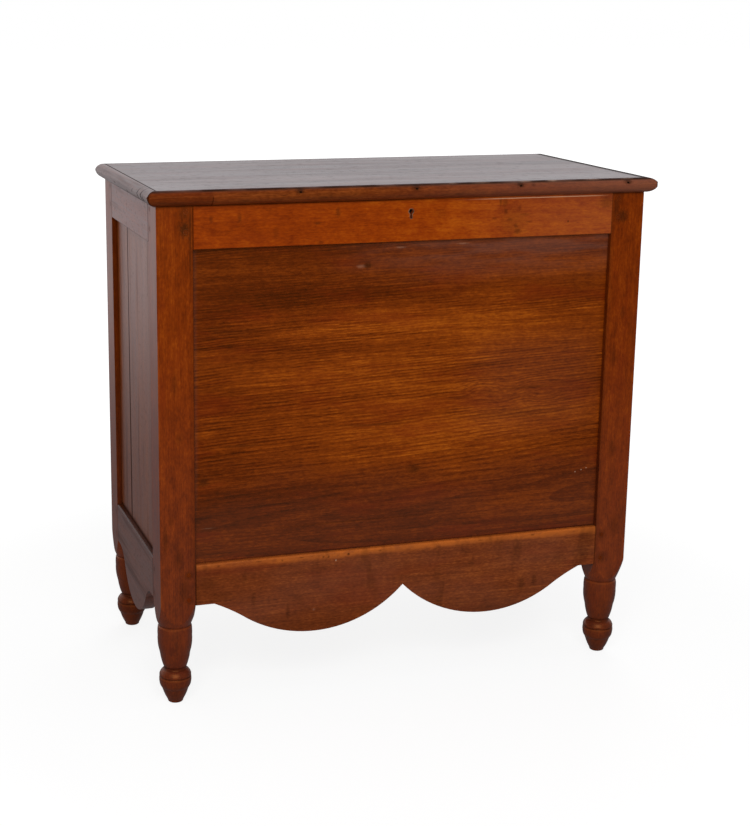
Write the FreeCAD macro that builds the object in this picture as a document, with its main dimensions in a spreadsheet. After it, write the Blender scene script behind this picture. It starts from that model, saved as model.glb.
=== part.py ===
import FreeCAD, Part
import math
import os

import Sketcher
from FreeCAD import Placement, Rotation, Vector

# Sugar chest: a joined chest on turned feet, with a hinged lid and a chest lock.
# Millimetres. +X runs to the right of someone facing the front, +Y to the back, +Z up.
# The origin is the middle of the whole outline, on the floor.

# Driving sizes. Each name is an alias in the sheet "Sizes".
SIZES = [
    ("case_width", 858, "across the posts"),
    ("case_depth", 426, "front face of the posts to their back face"),
    ("overall_height", 875, "floor to the top of the lid"),
    ("lid_thickness", 25, "field boards and moulding alike"),
    ("lid_overhang", 17.5, "front and end mouldings, past the case"),
    ("lid_gap", 0.5, "air between the closed lid and the case"),
    ("lid_front_board_depth", 262, "wider of the two boards of the lid"),
    ("lid_seam", 0.2, "glue line between the lid's boards"),
    ("moulding_flat", 3, "flat top of the moulding"),
    ("moulding_nose_drop", 9.5, "top of the lid to the widest point of the moulding"),
    ("moulding_foot", 1, "thickness of the moulding at its lower edge"),
    ("moulding_nose_bulge", 2.5, "sagitta of the rounded upper half"),
    ("moulding_belly_bulge", 4, "sagitta of the quarter round under it"),
    ("lid_corner_radius", 6, "worn front corners of the lid"),
    ("post_size", 60, "square of the posts"),
    ("post_arris", 1.5, "eased long edges of the posts"),
    ("foot_height", 141, "turned foot, floor to the groove under the square"),
    ("foot_radius", 29.3, "vase of the foot at its widest"),
    ("pommel_height", 56, "rounded shoulder from the groove up to the square corners"),
    ("pommel_bulge", 1.5, "sagitta of that shoulder"),
    ("member_thickness", 22, "rails and skirts"),
    ("tenon_thickness", 8, "tenons, and the grooves in line with them"),
    ("tenon_setback", 9, "outer face to the tenon, which is the panel's recess"),
    ("tenon_length", 36, "shoulder to the end of the tenon"),
    ("mortise_end_gap", 2, "room past the end of a tenon"),
    ("tenon_shoulder", 6, "step below the lower tenons"),
    ("groove_depth", 8, "ploughed groove for the panels"),
    ("tongue_length", 6.5, "panel edge inside its groove"),
    ("panel_shoulder_gap", 1, "panel's thick part to the frame"),
    ("joint_clearance", 0.2, "slack of a joint on each side"),
    ("member_arris", 1.2, "eased long edges of the rails"),
    ("front_rail_height", 70, "top rail over the front panel"),
    ("side_rail_height", 64, "top rail over the side and back panels"),
    ("skirt_top", 250.5, "floor to the top edge of the skirts"),
    ("skirt_end", 179.5, "floor to the straight ends of the skirts"),
    ("front_skirt_low", 111.5, "floor to the lobes of the front skirt"),
    ("side_skirt_low", 106, "floor to the lobe of a side skirt"),
    ("skirt_arris", 3.5, "worn upper arris of the skirts"),
    ("side_seam_from_back", 93, "open seam of a side panel, from the back post"),
    ("side_seam_gap", 1.2, "width of that seam"),
    ("back_board_height", 300, "lower board of the back"),
    ("back_lap", 8, "lap between the two boards of the back"),
    ("peg_radius", 4, "pegs through the tenons"),
    ("peg_length", 36, "outer face to the end of a peg"),
    ("peg_setback", 12, "shoulder line to a peg"),
    ("peg_drop", 9, "rail or skirt top to the upper peg"),
    ("peg_pitch", 32, "upper peg to lower peg in a top rail"),
    ("skirt_peg_drop", 16.5, "skirt top to its upper peg"),
    ("skirt_peg_pitch", 44, "upper peg to lower peg in a skirt"),
    ("fit_clearance", 0.1, "pegs, pins of the lock and screws in their holes"),
    ("cleat_size", 20, "square ledger strips under the floor"),
    ("floor_thickness", 15, "boards of the floor"),
    ("floor_gap", 0.5, "round each floor board"),
    ("end_bin_width", 261, "inside of a side panel to its divider"),
    ("divider_thickness", 12, "the two walls between the bins"),
    ("divider_drop", 59.5, "top of the case to the top of the dividers"),
    ("divider_cleat_width", 30, "grooved strips that hold the dividers"),
    ("divider_cleat_thickness", 12, "the same strips, out from the wall"),
    ("divider_housing", 6, "depth of the groove in those strips"),
    ("batten_set_in", 129, "end of the case to the middle of a batten"),
    ("batten_width", 55, "battens under the lid"),
    ("batten_thickness", 19, "battens, down from the lid"),
    ("batten_end_gap", 12, "batten ends to the inside of the case"),
    ("batten_taper", 8, "sloped lower ends of the battens"),
    ("batten_screw_length", 32, "long screws through the battens"),
    ("hinge_set_in", 159, "end of the case to the middle of a hinge"),
    ("hinge_length", 60, "leaf and barrel of a hinge"),
    ("hinge_leaf_width", 18, "leaf, in from the back of the case"),
    ("hinge_leaf_thickness", 2.2, "brass leaf"),
    ("hinge_set_out", 5, "back of the case to the hinge pin"),
    ("knuckle_radius", 4.5, "barrel of a hinge"),
    ("knuckle_clearance", 0.3, "between neighbouring knuckles"),
    ("pin_radius", 2, "hinge pin"),
    ("pin_clearance", 0.05, "running fit of the hinge pin"),
    ("pin_end", 1, "pin beyond the barrel"),
    ("screw_length", 14, "wood screws of hinges, lock and strike"),
    ("screw_radius", 1.6, "shank of those screws"),
    ("screw_head_radius", 3.2, "countersunk head"),
    ("screw_head_depth", 1.8, "height of the countersunk head"),
    ("keyhole_drop", 20, "top of the case to the middle of the key pin"),
    ("keyhole_radius", 4, "round head of the keyhole"),
    ("keyhole_slot", 3.4, "width of the slot under it"),
    ("keyhole_reach", 11.8, "key pin to the foot of the slot"),
    ("escutcheon_wall", 1.1, "brass thread let in round the keyhole"),
    ("escutcheon_depth", 3, "depth of that inlay"),
    ("lock_width", 80, "back plate and selvedge"),
    ("lock_height", 42.5, "back plate"),
    ("lock_depth", 12, "selvedge, and the back plate with its box"),
    ("lock_plate", 2, "thickness of back plate and selvedge"),
    ("lock_box_width", 66, "box on the back plate"),
    ("lock_box_height", 36, "box, down from the case top"),
    ("lock_wall", 1.2, "walls and front cover of the box"),
    ("bolt_throw", 7, "travel of the bolt"),
    ("bolt_length", 54, "sliding bolt"),
    ("bolt_left_reach", 31, "middle of the lock to the left end of the bolt, unlocked"),
    ("bolt_thickness", 3, "sliding bolt"),
    ("bolt_top_drop", 4.5, "case top to the upper edge of the bolt"),
    ("bolt_height", 11, "sliding bolt"),
    ("talon_width", 9, "notch that the key turns in"),
    ("talon_offset", 3.5, "middle of the lock to the middle of the notch, unlocked"),
    ("talon_height", 7.5, "depth of that notch"),
    ("bolt_finger", 2.5, "height of the finger that enters a staple"),
    ("bolt_slack", 0.5, "bolt to staple"),
    ("bolt_guide_gap", 0.3, "bolt to its guides"),
    ("bolt_guide_length", 15, "guides, in from the ends of the box"),
    ("bolt_guide_height", 4, "guides beside the foot of the bolt"),
    ("bolt_ledge", 3, "height of the ledges under the bolt"),
    ("spring_span", 22, "bow spring over the bolt"),
    ("spring_thickness", 0.4, "bow spring"),
    ("spring_clearance", 0.1, "bow spring to the selvedge and to the bolt"),
    ("staple_offset", 17, "middle of the lock to a staple"),
    ("staple_drop", 10, "lid to the foot of a staple"),
    ("staple_thickness", 3, "staple, along the bolt"),
    ("staple_width", 7.4, "staple, across the bolt"),
    ("staple_wire", 1.6, "legs and foot of a staple"),
    ("staple_slack", 0.6, "staple to its slot in the selvedge"),
    ("strike_width", 76, "plate let into the lid"),
    ("strike_depth", 12, "the same plate, front to back"),
    ("strike_thickness", 2, "the same plate"),
    ("recess_clearance", 0.15, "round hardware let into wood"),
    ("overrun", 5, "how far a cutting shape passes a face"),
]

# Lower edge of a front skirt, half of it: share of the half opening, share of the rise
# from the lobe to the straight end, and bulge as a share of the chord before the point.
FRONT_SKIRT_SHARES = [(0.915, 1.00, None), (0.786, 0.62, -0.02), (0.0, 1.00, 0.188)]
# Lower edge of a side skirt: one lobe between two reverse curves.
SIDE_SKIRT_SHARES = [(0.930, 1.00, None), (0.600, 0.70, -0.14), (-0.600, 0.70, 0.276)]
# Turned foot: share of the foot's height, share of its radius, bulge as a share of the chord.
FOOT_SHARES = [
    (0.000, 0.360, None),
    (0.025, 0.450, -0.22),
    (0.185, 0.780, -0.03),
    (0.265, 0.925, -0.08),
    (0.325, 0.925, -0.05),
    (0.333, 0.895, None),
    (0.341, 0.920, None),
    (0.372, 0.900, -0.08),
    (0.425, 0.675, -0.10),
    (0.465, 0.680, 0.22),
    (0.640, 0.880, -0.03),
    (0.860, 1.000, -0.045),
    (0.975, 0.980, -0.03),
    (0.985, 0.930, None),
    (1.000, 0.940, None),
]
# What the turning takes away reaches this far from the axis, as a share of the post.
POST_WASTE_SHARE = 0.75
# Screws of a hinge leaf: share of its length from the middle, share of its width from the pin.
HINGE_SCREW_SHARES = [(-1 / 3, 0.5), (0, 0.72), (1 / 3, 0.5)]
# Screws of the lock's plate: share of its height, down from the top.
LOCK_SCREW_SHARES = (0.25, 0.82)
# Screws of a batten: share of its length, from the front.
BATTEN_SCREW_SHARES = (0.12, 0.44, 0.88)
# A mitre's cut, as a share of the moulding's width.
MITRE_SHARE = 3
KNUCKLES = 5
FLOOR_BOARDS = ("front", "middle", "rear")

doc = FreeCAD.newDocument("sugar_chest")
sheet = doc.addObject("Spreadsheet::Sheet", "Sizes")
for row, (alias, number, note) in enumerate(SIZES, start=1):
    sheet.set(f"A{row}", alias)
    sheet.set(f"B{row}", str(number))
    sheet.setAlias(f"B{row}", alias)
    sheet.set(f"C{row}", note)
doc.recompute()


class Size:
    """A length worked out from the sheet: its number now, and the expression that binds it."""

    def __init__(self, number, text):
        self.number = float(number)
        self.text = text

    @staticmethod
    def of(other):
        return other if isinstance(other, Size) else Size(other, repr(float(other)))

    def __add__(self, other):
        other = Size.of(other)
        return Size(self.number + other.number, f"({self.text} + {other.text})")

    def __sub__(self, other):
        other = Size.of(other)
        return Size(self.number - other.number, f"({self.text} - {other.text})")

    def __mul__(self, other):
        other = Size.of(other)
        return Size(self.number * other.number, f"({self.text} * {other.text})")

    def __truediv__(self, other):
        other = Size.of(other)
        return Size(self.number / other.number, f"({self.text} / {other.text})")

    def __radd__(self, other):
        return Size.of(other) + self

    def __rsub__(self, other):
        return Size.of(other) - self

    def __rmul__(self, other):
        return Size.of(other) * self

    def __neg__(self):
        return Size(-self.number, f"(0 - {self.text})")


class Sheet:
    """The sheet's sizes by name."""

    def __getattr__(self, alias):
        return Size(sheet.get(alias), f"Sizes.{alias}")


size = Sheet()
ZERO = Size(0, "0")
parts = {}


def bind(feature, prop, length):
    feature.setExpression(prop, Size.of(length).text)


def place(feature, x=ZERO, y=ZERO, z=ZERO, rotation=None):
    """Set a turn, and bind the place that goes with it."""
    feature.Placement = Placement(Vector(), rotation or Rotation())
    for axis, length in zip("xyz", (x, y, z)):
        bind(feature, f"Placement.Base.{axis}", length)


def keep(node, feature):
    """Name a finished piece."""
    feature.Label = node
    parts[node] = feature
    return feature


# Primitives and booleans

def block(name, x, y, z):
    """A box from three spans, each a pair of lengths."""
    feature = doc.addObject("Part::Box", name)
    for prop, (low, high) in zip(("Length", "Width", "Height"), (x, y, z)):
        bind(feature, prop, high - low)
    place(feature, x[0], y[0], z[0])
    return feature


TURN_TO = {
    "x": Rotation(Vector(0, 1, 0), 90),
    "y": Rotation(Vector(1, 0, 0), -90),
    "z": Rotation(),
    "-z": Rotation(Vector(1, 0, 0), 180),
    "-y": Rotation(Vector(1, 0, 0), 90),
}


def rod(name, axis, radius, length, x, y, z):
    """A cylinder from a point along an axis."""
    feature = doc.addObject("Part::Cylinder", name)
    bind(feature, "Radius", radius)
    bind(feature, "Height", length)
    place(feature, x, y, z, TURN_TO[axis])
    return feature


def cone(name, axis, radius, end_radius, length, x, y, z):
    feature = doc.addObject("Part::Cone", name)
    bind(feature, "Radius1", radius)
    bind(feature, "Radius2", end_radius)
    bind(feature, "Height", length)
    place(feature, x, y, z, TURN_TO[axis])
    return feature


def fuse(name, shapes):
    feature = doc.addObject("Part::MultiFuse", name)
    feature.Shapes = shapes
    return feature


def cut(name, base, tools):
    """Take the tools away from the base."""
    feature = doc.addObject("Part::Cut", name)
    feature.Base = base
    feature.Tool = tools[0] if len(tools) == 1 else fuse(f"{name}_tools", tools)
    return feature


def group(name, shapes):
    feature = doc.addObject("Part::Compound", name)
    feature.Links = shapes
    return feature


# Sketches and features of a body

def new_body(name):
    return doc.addObject("PartDesign::Body", name)


def origin_plane(body, role):
    return next(feature for feature in body.Origin.OriginFeatures if feature.Role == role)


def new_sketch(body, name, role, offset=None):
    """A sketch on one of the body's origin planes, moved along its normal."""
    sketch = body.newObject("Sketcher::SketchObject", name)
    sketch.AttachmentSupport = [(origin_plane(body, role), "")]
    sketch.MapMode = "FlatFace"
    if offset is not None:
        bind(sketch, "AttachmentOffset.Base.z", offset)
    return sketch


def bound(sketch, kind, *where):
    """Add a constraint with a length, and bind it."""
    length = where[-1]
    index = sketch.addConstraint(Sketcher.Constraint(kind, *where[:-1], length.number))
    bind(sketch, f"Constraints[{index}]", length)


def draw(sketch, points):
    """A closed outline: each point is x, y and the sagitta of the edge that leads to it.

    A positive sagitta bulges to the left of the way along the outline; None is a straight.
    """
    edges = []
    for index, (x, y, sagitta) in enumerate(points):
        from_x, from_y, _ = points[index - 1]
        start = Vector(from_x.number, from_y.number, 0)
        end = Vector(x.number, y.number, 0)
        if sagitta is None:
            edges.append(sketch.addGeometry(Part.LineSegment(start, end)))
            continue
        along = (end - start).normalize()
        middle = (start + end) * 0.5 + Vector(-along.y, along.x, 0) * sagitta.number
        edge = sketch.addGeometry(Part.Arc(start, middle, end))
        edges.append(edge)
        chord_squared = (x - from_x) * (x - from_x) + (y - from_y) * (y - from_y)
        rise = sagitta if sagitta.number > 0 else -sagitta
        bound(sketch, "Radius", edge, chord_squared / (rise * 8) + rise / 2)
    for index, (x, y, _) in enumerate(points):
        corner = Vector(x.number, y.number, 0)
        here, after = edges[index], edges[(index + 1) % len(edges)]
        ends = [near_end(sketch, edge, corner) for edge in (here, after)]
        sketch.addConstraint(Sketcher.Constraint("Coincident", here, ends[0], after, ends[1]))
        bound(sketch, "DistanceX", -1, 1, here, ends[0], x)
        bound(sketch, "DistanceY", -1, 1, here, ends[0], y)


def near_end(sketch, edge, corner):
    """Which end of a sketched edge lies on a corner: 1 for its start, 2 for its end."""
    return min((1, 2), key=lambda end: (sketch.getPoint(edge, end) - corner).Length)


def rectangle(x, y):
    return [(x[0], y[0], None), (x[1], y[0], None), (x[1], y[1], None), (x[0], y[1], None)]


def pad(body, name, sketch, length, inward=False, both_ways=False):
    feature = body.newObject("PartDesign::Pad", name)
    feature.Profile = sketch
    bind(feature, "Length", length)
    feature.Reversed = inward
    if both_ways:
        feature.SideType = "Symmetric"
    sketch.Visibility = False
    return feature


def ease(body, name, base, radius, on_edge):
    """Round the edges of the last feature for which on_edge(start, end) holds."""
    doc.recompute()
    names = []
    for number, edge in enumerate(base.Shape.Edges, start=1):
        ends = [vertex.Point for vertex in edge.Vertexes]
        if len(ends) == 2 and on_edge(*ends):
            names.append(f"Edge{number}")
    feature = body.newObject("PartDesign::Fillet", name)
    feature.Base = (base, names)
    bind(feature, "Radius", radius)
    return feature


def same(a, b):
    return math.isclose(a, b, abs_tol=1e-6)


# Places that several pieces share. A side of the case is worked out in its own frame:
# x along the side, y from its outer face into the case, z up from the floor.

half_width = size.case_width / 2
total_depth = size.lid_overhang + size.case_depth + size.hinge_set_out + size.knuckle_radius
front_y = size.lid_overhang - total_depth / 2
back_y = front_y + size.case_depth
middle_y = (front_y + back_y) / 2
lid_top = size.overall_height
lid_bottom = lid_top - size.lid_thickness
case_top = lid_bottom - size.lid_gap
half_post = size.post_size / 2
front_opening = half_width - size.post_size
side_opening = size.case_depth / 2 - size.post_size
inner_x = half_width - size.member_thickness
inner_front = front_y + size.member_thickness
inner_back = back_y - size.member_thickness
floor_top = size.skirt_top
floor_bottom = floor_top - size.floor_thickness
tenon_near = size.tenon_setback
tenon_far = size.tenon_setback + size.tenon_thickness
front_rail_bottom = case_top - size.front_rail_height
side_rail_bottom = case_top - size.side_rail_height


class Side:
    """One side of the case: where it stands, how it is turned, and half its opening."""

    def __init__(self, name, x, y, angle, half_opening, rail_bottom):
        self.name = name
        self.x = x
        self.y = y
        self.rotation = Rotation(Vector(0, 0, 1), angle)
        self.half_opening = half_opening
        self.rail_bottom = rail_bottom

    def put(self, node, feature):
        place(feature, self.x, self.y, ZERO, self.rotation)
        return keep(node, feature)


FRONT = Side("front", ZERO, front_y, 0, front_opening, front_rail_bottom)
BACK = Side("back", ZERO, back_y, 180, front_opening, side_rail_bottom)
LEFT = Side("left", -half_width, middle_y, -90, side_opening, side_rail_bottom)
RIGHT = Side("right", half_width, middle_y, 90, side_opening, side_rail_bottom)


def peg_heights(side):
    """Heights of the four pegs at one end of a side, top rail first."""
    upper = case_top - size.peg_drop
    lower = size.skirt_top - size.skirt_peg_drop
    return [upper, upper - size.peg_pitch, lower, lower - size.skirt_peg_pitch]


# Posts: a square, eased along its arrises, turned to a foot at the lower end.

def turned_profile():
    """What the turning takes away: outside the foot's profile, out past the post's corners."""
    outside = size.post_size * POST_WASTE_SHARE
    toe = size.foot_radius * FOOT_SHARES[0][1]
    points = [(outside, -size.overrun, None), (toe, -size.overrun, None)]
    for height_share, radius_share, bulge_share in FOOT_SHARES:
        radius = size.foot_radius * radius_share
        height = size.foot_height * height_share
        bulge = None
        if bulge_share is not None:
            before = points[-1]
            chord = math.hypot(radius.number - before[0].number, height.number - before[1].number)
            chord_share = chord / size.foot_radius.number
            bulge = size.foot_radius * (chord_share * bulge_share)
        points.append((radius, height, bulge))
    points.append((outside, size.foot_height + size.pommel_height, -size.pommel_bulge))
    return points


def span(direction, near, far):
    """A pair of lengths on the side of the middle that the direction points to."""
    return (near, far) if direction > 0 else (-far, -near)


def make_post(node, x_way, y_way, front_member, centre_x, centre_y):
    """x_way and y_way point from the post along the two sides that it joins."""
    body = new_body(f"{node}_turned")
    square = new_sketch(body, f"{node}_square", "XY_Plane")
    draw(square, rectangle((-half_post, half_post), (-half_post, half_post)))
    stock = pad(body, f"{node}_stock", square, case_top)
    eased = ease(body, f"{node}_eased", stock, size.post_arris,
                 lambda a, b: same(a.x, b.x) and same(a.y, b.y))
    profile = new_sketch(body, f"{node}_profile", "XZ_Plane")
    draw(profile, turned_profile())
    foot = body.newObject("PartDesign::Groove", f"{node}_foot")
    foot.Profile = profile
    foot.ReferenceAxis = (profile, ["V_Axis"])
    foot.Angle = 360
    profile.Visibility = False
    doc.recompute()
    assert foot.Shape.Volume < eased.Shape.Volume, node

    slack = size.joint_clearance
    depth = size.tenon_length + size.mortise_end_gap
    lower = size.skirt_end + size.tenon_shoulder - slack
    tools = []
    for turn, along, across, side in (("x", x_way, y_way, front_member),
                                      ("y", y_way, x_way, LEFT)):
        slot = span(-across, half_post - tenon_far - slack, half_post - tenon_near + slack)
        mortise = span(along, half_post - depth, half_post + size.overrun)
        groove = span(along, half_post - size.groove_depth, half_post + size.overrun)
        rows = [
            (mortise, (side.rail_bottom + size.groove_depth - slack, case_top + size.overrun)),
            (mortise, (lower, size.skirt_top - size.groove_depth + slack)),
            (groove, (lower, case_top - slack)),
        ]
        for number, (reach, heights) in enumerate(rows):
            spans = (reach, slot) if turn == "x" else (slot, reach)
            tools.append(block(f"{node}_{turn}_slot_{number}", *spans, heights))
        hole = size.peg_radius + size.fit_clearance
        reach = size.peg_length + size.fit_clearance + size.overrun
        off = (half_post - size.peg_setback) * along
        start = -(half_post + size.overrun)
        for number, height in enumerate(peg_heights(side)):
            name = f"{node}_{turn}_peg_{number}"
            if turn == "x":
                axis = "y" if across > 0 else "-y"
                tools.append(rod(name, axis, hole, reach, off, start * across, height))
            else:
                tools.append(peg_hole_across(name, across, hole, reach, start, off, height))
    post = cut(f"{node}_post", body, tools)
    place(post, centre_x, centre_y)
    return keep(node, post)


def peg_hole_across(name, across, radius, reach, start, off, height):
    """A peg hole along X, into the post from its outer side."""
    feature = rod(name, "x", radius, reach, start * across, off, height)
    if across < 0:
        feature.Placement.Rotation = Rotation(Vector(0, 1, 0), -90)
    return feature


for y_name, y_way, post_y, side in (("front", 1, front_y + half_post, FRONT),
                                    ("rear", -1, back_y - half_post, BACK)):
    for x_name, x_way in (("left", 1), ("right", -1)):
        post_x = (half_post - half_width) * x_way
        make_post(f"post_{y_name}_{x_name}", x_way, y_way, side, post_x, post_y)


# Rails and skirts: a board between the shoulders, with a tenon at each end.

def straight_outline(half, bottom, top):
    return rectangle((-half, half), (bottom, top))


def scalloped_outline(half, low, shares, both_halves):
    """A skirt: straight ends, then curves whose shares are given for the right half."""
    rise = size.skirt_end - low
    half_points = []
    for x_share, z_share, bulge_share in shares:
        point = (half * x_share, low + rise * z_share)
        bulge = None
        if bulge_share is not None:
            before = half_points[-1]
            chord = math.hypot(point[0].number - before[0].number, point[1].number - before[1].number)
            bulge = half * (chord / half.number * bulge_share)
        half_points.append((*point, bulge))
    points = [(half, size.skirt_end, None)] + half_points
    if both_halves:
        bulges = [point[2] for point in half_points[1:]][::-1]
        mirrored = half_points[:-1][::-1]
        points += [(-x, z, bulge) for (x, z, _), bulge in zip(mirrored, bulges)]
    else:
        points.append((-half_points[0][0], half_points[0][1], half_points[1][2]))
    top = size.skirt_top
    return points + [(-half, size.skirt_end, None), (-half, top, None), (half, top, None)]


def make_member(node, side, outline, tenon_low, tenon_high, eased_height, arris, cuts):
    """Board, tenons, one eased outer arris, then the groove, peg holes and other cuts."""
    half = side.half_opening
    body = new_body(f"{node}_board")
    face = new_sketch(body, f"{node}_face", "XZ_Plane")
    draw(face, outline)
    board = pad(body, f"{node}_pad", face, size.member_thickness, inward=True)
    eased = ease(body, f"{node}_eased", board, arris,
                 lambda a, b: same(a.y, 0) and same(b.y, 0)
                 and same(a.z, eased_height.number) and same(b.z, eased_height.number))
    for way, end in ((-1, "left"), (1, "right")):
        sketch = new_sketch(body, f"{node}_{end}_tenon", "XZ_Plane", -tenon_near)
        reach = span(way, half - size.overrun, half + size.tenon_length)
        draw(sketch, rectangle(reach, (tenon_low, tenon_high)))
        pad(body, f"{node}_{end}_tenon_pad", sketch, size.tenon_thickness, inward=True)
    doc.recompute()
    tools = list(cuts)
    for way in (-1, 1):
        for number, height in enumerate(peg_heights(side)):
            if tenon_low.number < height.number < tenon_high.number:
                tools.append(rod(f"{node}_peg_{number}", "y", size.peg_radius + size.fit_clearance,
                                 size.peg_length + size.overrun, (half + size.peg_setback) * way,
                                 -size.overrun, height))
    return side.put(node, cut(f"{node}_cut", body, tools))


def ploughed_groove(name, side, low, high):
    """The groove for the panel, right along a member."""
    reach = side.half_opening + size.tenon_length + size.overrun
    slack = size.joint_clearance
    return block(name, (-reach, reach), (tenon_near - slack, tenon_far + slack), (low, high))


def top_rail(node, side, cuts):
    bottom = side.rail_bottom
    groove = ploughed_groove(f"{node}_groove", side, bottom - size.overrun, bottom + size.groove_depth)
    outline = straight_outline(side.half_opening, bottom, case_top)
    make_member(node, side, outline, bottom + size.groove_depth, case_top, bottom, size.member_arris,
                [groove] + cuts)


def lower_member(node, side, outline):
    top = size.skirt_top
    groove = ploughed_groove(f"{node}_groove", side, top - size.groove_depth, top + size.overrun)
    make_member(node, side, outline, size.skirt_end + size.tenon_shoulder, top - size.groove_depth,
                top, size.skirt_arris, [groove])


# Screws: a countersunk head and a shank, driven from a face along an axis.

STEP = {"z": (0, 0, 1), "-z": (0, 0, -1), "y": (0, 1, 0), "-y": (0, -1, 0)}


def screw(name, axis, x, y, z, length=None, slack=ZERO):
    """The screw itself or, with slack, the hole that takes it."""
    length = length or size.screw_length
    head = cone(f"{name}_head", axis, size.screw_head_radius + slack, size.screw_radius + slack,
                size.screw_head_depth, x, y, z)
    shank = rod(f"{name}_shank", axis, size.screw_radius + slack, length + slack, x, y, z)
    shapes = [head, shank]
    if slack is not ZERO:
        back = [middle - size.overrun * step for middle, step in zip((x, y, z), STEP[axis])]
        shapes.append(rod(f"{name}_way_in", axis, size.screw_head_radius + slack, size.overrun,
                          *back))
    return fuse(name, shapes)


def screw_hole(name, axis, x, y, z, length=None):
    return screw(name, axis, x, y, z, length, size.fit_clearance)


# Hinge places, shared by the rail, the lid and the hinges

pin_y = back_y + size.hinge_set_out
pin_z = case_top + size.lid_gap / 2
leaf_front = back_y - size.hinge_leaf_width
hinge_places = {"left": size.hinge_set_in - half_width, "right": half_width - size.hinge_set_in}


def hinge_screws(middle):
    """Places of the three screws of a leaf."""
    return [(middle + size.hinge_length * along, back_y - size.hinge_leaf_width * across)
            for along, across in HINGE_SCREW_SHARES]


# Lock places. The lock sits in the middle of the front rail, let into its inner face.

key_z = case_top - size.keyhole_drop
lock_back = inner_front
lock_front = lock_back - size.lock_depth
plate_front = lock_back - size.lock_plate
cover_back = lock_front + size.lock_wall
selvedge_bottom = case_top - size.lock_plate
plate_bottom = case_top - size.lock_height
box_bottom = case_top - size.lock_box_height - size.lock_plate
half_lock = size.lock_width / 2
half_box = size.lock_box_width / 2
bolt_y = (cover_back + plate_front) / 2
bolt_top = case_top - size.bolt_top_drop
bolt_bottom = bolt_top - size.bolt_height
lock_screw_x = (half_lock + half_box) / 2
lock_screw_heights = [case_top - size.lock_height * share for share in LOCK_SCREW_SHARES]


def keyhole(name, wall, y):
    """A keyhole's shape, grown by a wall: a round head over a slot with a round foot."""
    head = rod(f"{name}_head", "y", size.keyhole_radius + wall, y[1] - y[0], ZERO, y[0], key_z)
    half_slot = size.keyhole_slot / 2 + wall
    foot_z = key_z - size.keyhole_reach + size.keyhole_slot / 2
    slot = block(f"{name}_slot", (-half_slot, half_slot), y, (foot_z, key_z))
    foot = rod(f"{name}_foot", "y", half_slot, y[1] - y[0], ZERO, y[0], foot_z)
    return fuse(name, [head, slot, foot])


def lock_recess():
    """Cuts in the front rail, in the frame of the front: y is measured from its outer face."""
    slack = size.recess_clearance
    inner = size.member_thickness
    behind = inner + size.overrun
    above = case_top + size.overrun
    cuts = [
        block("lock_plate_recess", (-half_lock - slack, half_lock + slack),
              (inner - size.lock_plate, behind), (plate_bottom - slack, above)),
        block("lock_selvedge_recess", (-half_lock - slack, half_lock + slack),
              (inner - size.lock_depth - slack, behind), (selvedge_bottom, above)),
        block("lock_box_recess", (-half_box - slack, half_box + slack),
              (inner - size.lock_depth - slack, behind), (box_bottom - slack, above)),
    ]
    through = (-size.overrun, inner)
    cuts.append(keyhole("rail_keyhole", ZERO, through))
    inlay = (-size.overrun, size.escutcheon_depth + size.fit_clearance)
    cuts.append(keyhole("escutcheon_recess", size.escutcheon_wall + size.fit_clearance, inlay))
    for way in (-1, 1):
        for number, height in enumerate(lock_screw_heights):
            name = f"rail_lock_screw_{number}"
            cuts.append(screw_hole(name, "-y", lock_screw_x * way, inner, height))
    return cuts


def back_rail_recesses():
    """Cuts in the back rail for the hinge leaves, in the frame of the back."""
    slack = size.recess_clearance
    half = size.hinge_length / 2 + slack
    cuts = []
    for name, middle in hinge_places.items():
        cuts.append(block(f"rail_{name}_hinge_recess", (-middle - half, -middle + half),
                          (-size.overrun, size.hinge_leaf_width + slack),
                          (case_top - size.hinge_leaf_thickness, case_top + size.overrun)))
        for x, y in hinge_screws(middle):
            cuts.append(screw_hole(f"rail_{name}_hinge_screw", "-z", -x, back_y - y, case_top))
    return cuts


top_rail("rail_front_top", FRONT, lock_recess())
top_rail("rail_back_top", BACK, back_rail_recesses())
top_rail("rail_left_top", LEFT, [])
top_rail("rail_right_top", RIGHT, [])

lower_member("skirt_front", FRONT,
             scalloped_outline(front_opening, size.front_skirt_low, FRONT_SKIRT_SHARES, True))
for side in (LEFT, RIGHT):
    lower_member(f"skirt_{side.name}", side,
                 scalloped_outline(side_opening, size.side_skirt_low, SIDE_SKIRT_SHARES, False))
lower_member("rail_back_bottom", BACK,
             straight_outline(front_opening, size.skirt_end, size.skirt_top))


# Panels: flush with the rails inside, and thinned at the edges to enter the grooves.

def panel_board(node, left, right, bottom, top, edges):
    """A board between the given lines; edges names those that enter a groove."""
    near = tenon_near
    inside = size.member_thickness
    tongue_back = tenon_far - size.joint_clearance
    grow = size.tongue_length
    gap = size.panel_shoulder_gap
    x = [left, right]
    z = [bottom, top]
    thick_x = [left, right]
    thick_z = [bottom, top]
    if "left" in edges:
        x[0], thick_x[0] = left - grow, left + gap
    if "right" in edges:
        x[1], thick_x[1] = right + grow, right - gap
    if "bottom" in edges:
        z[0], thick_z[0] = bottom - grow, bottom + gap
    if "top" in edges:
        z[1], thick_z[1] = top + grow, top - gap
    tongue = block(f"{node}_tongue", x, (near, tongue_back), z)
    thick = block(f"{node}_thick", thick_x, (near, inside), thick_z)
    return fuse(f"{node}_board", [tongue, thick])


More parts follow.
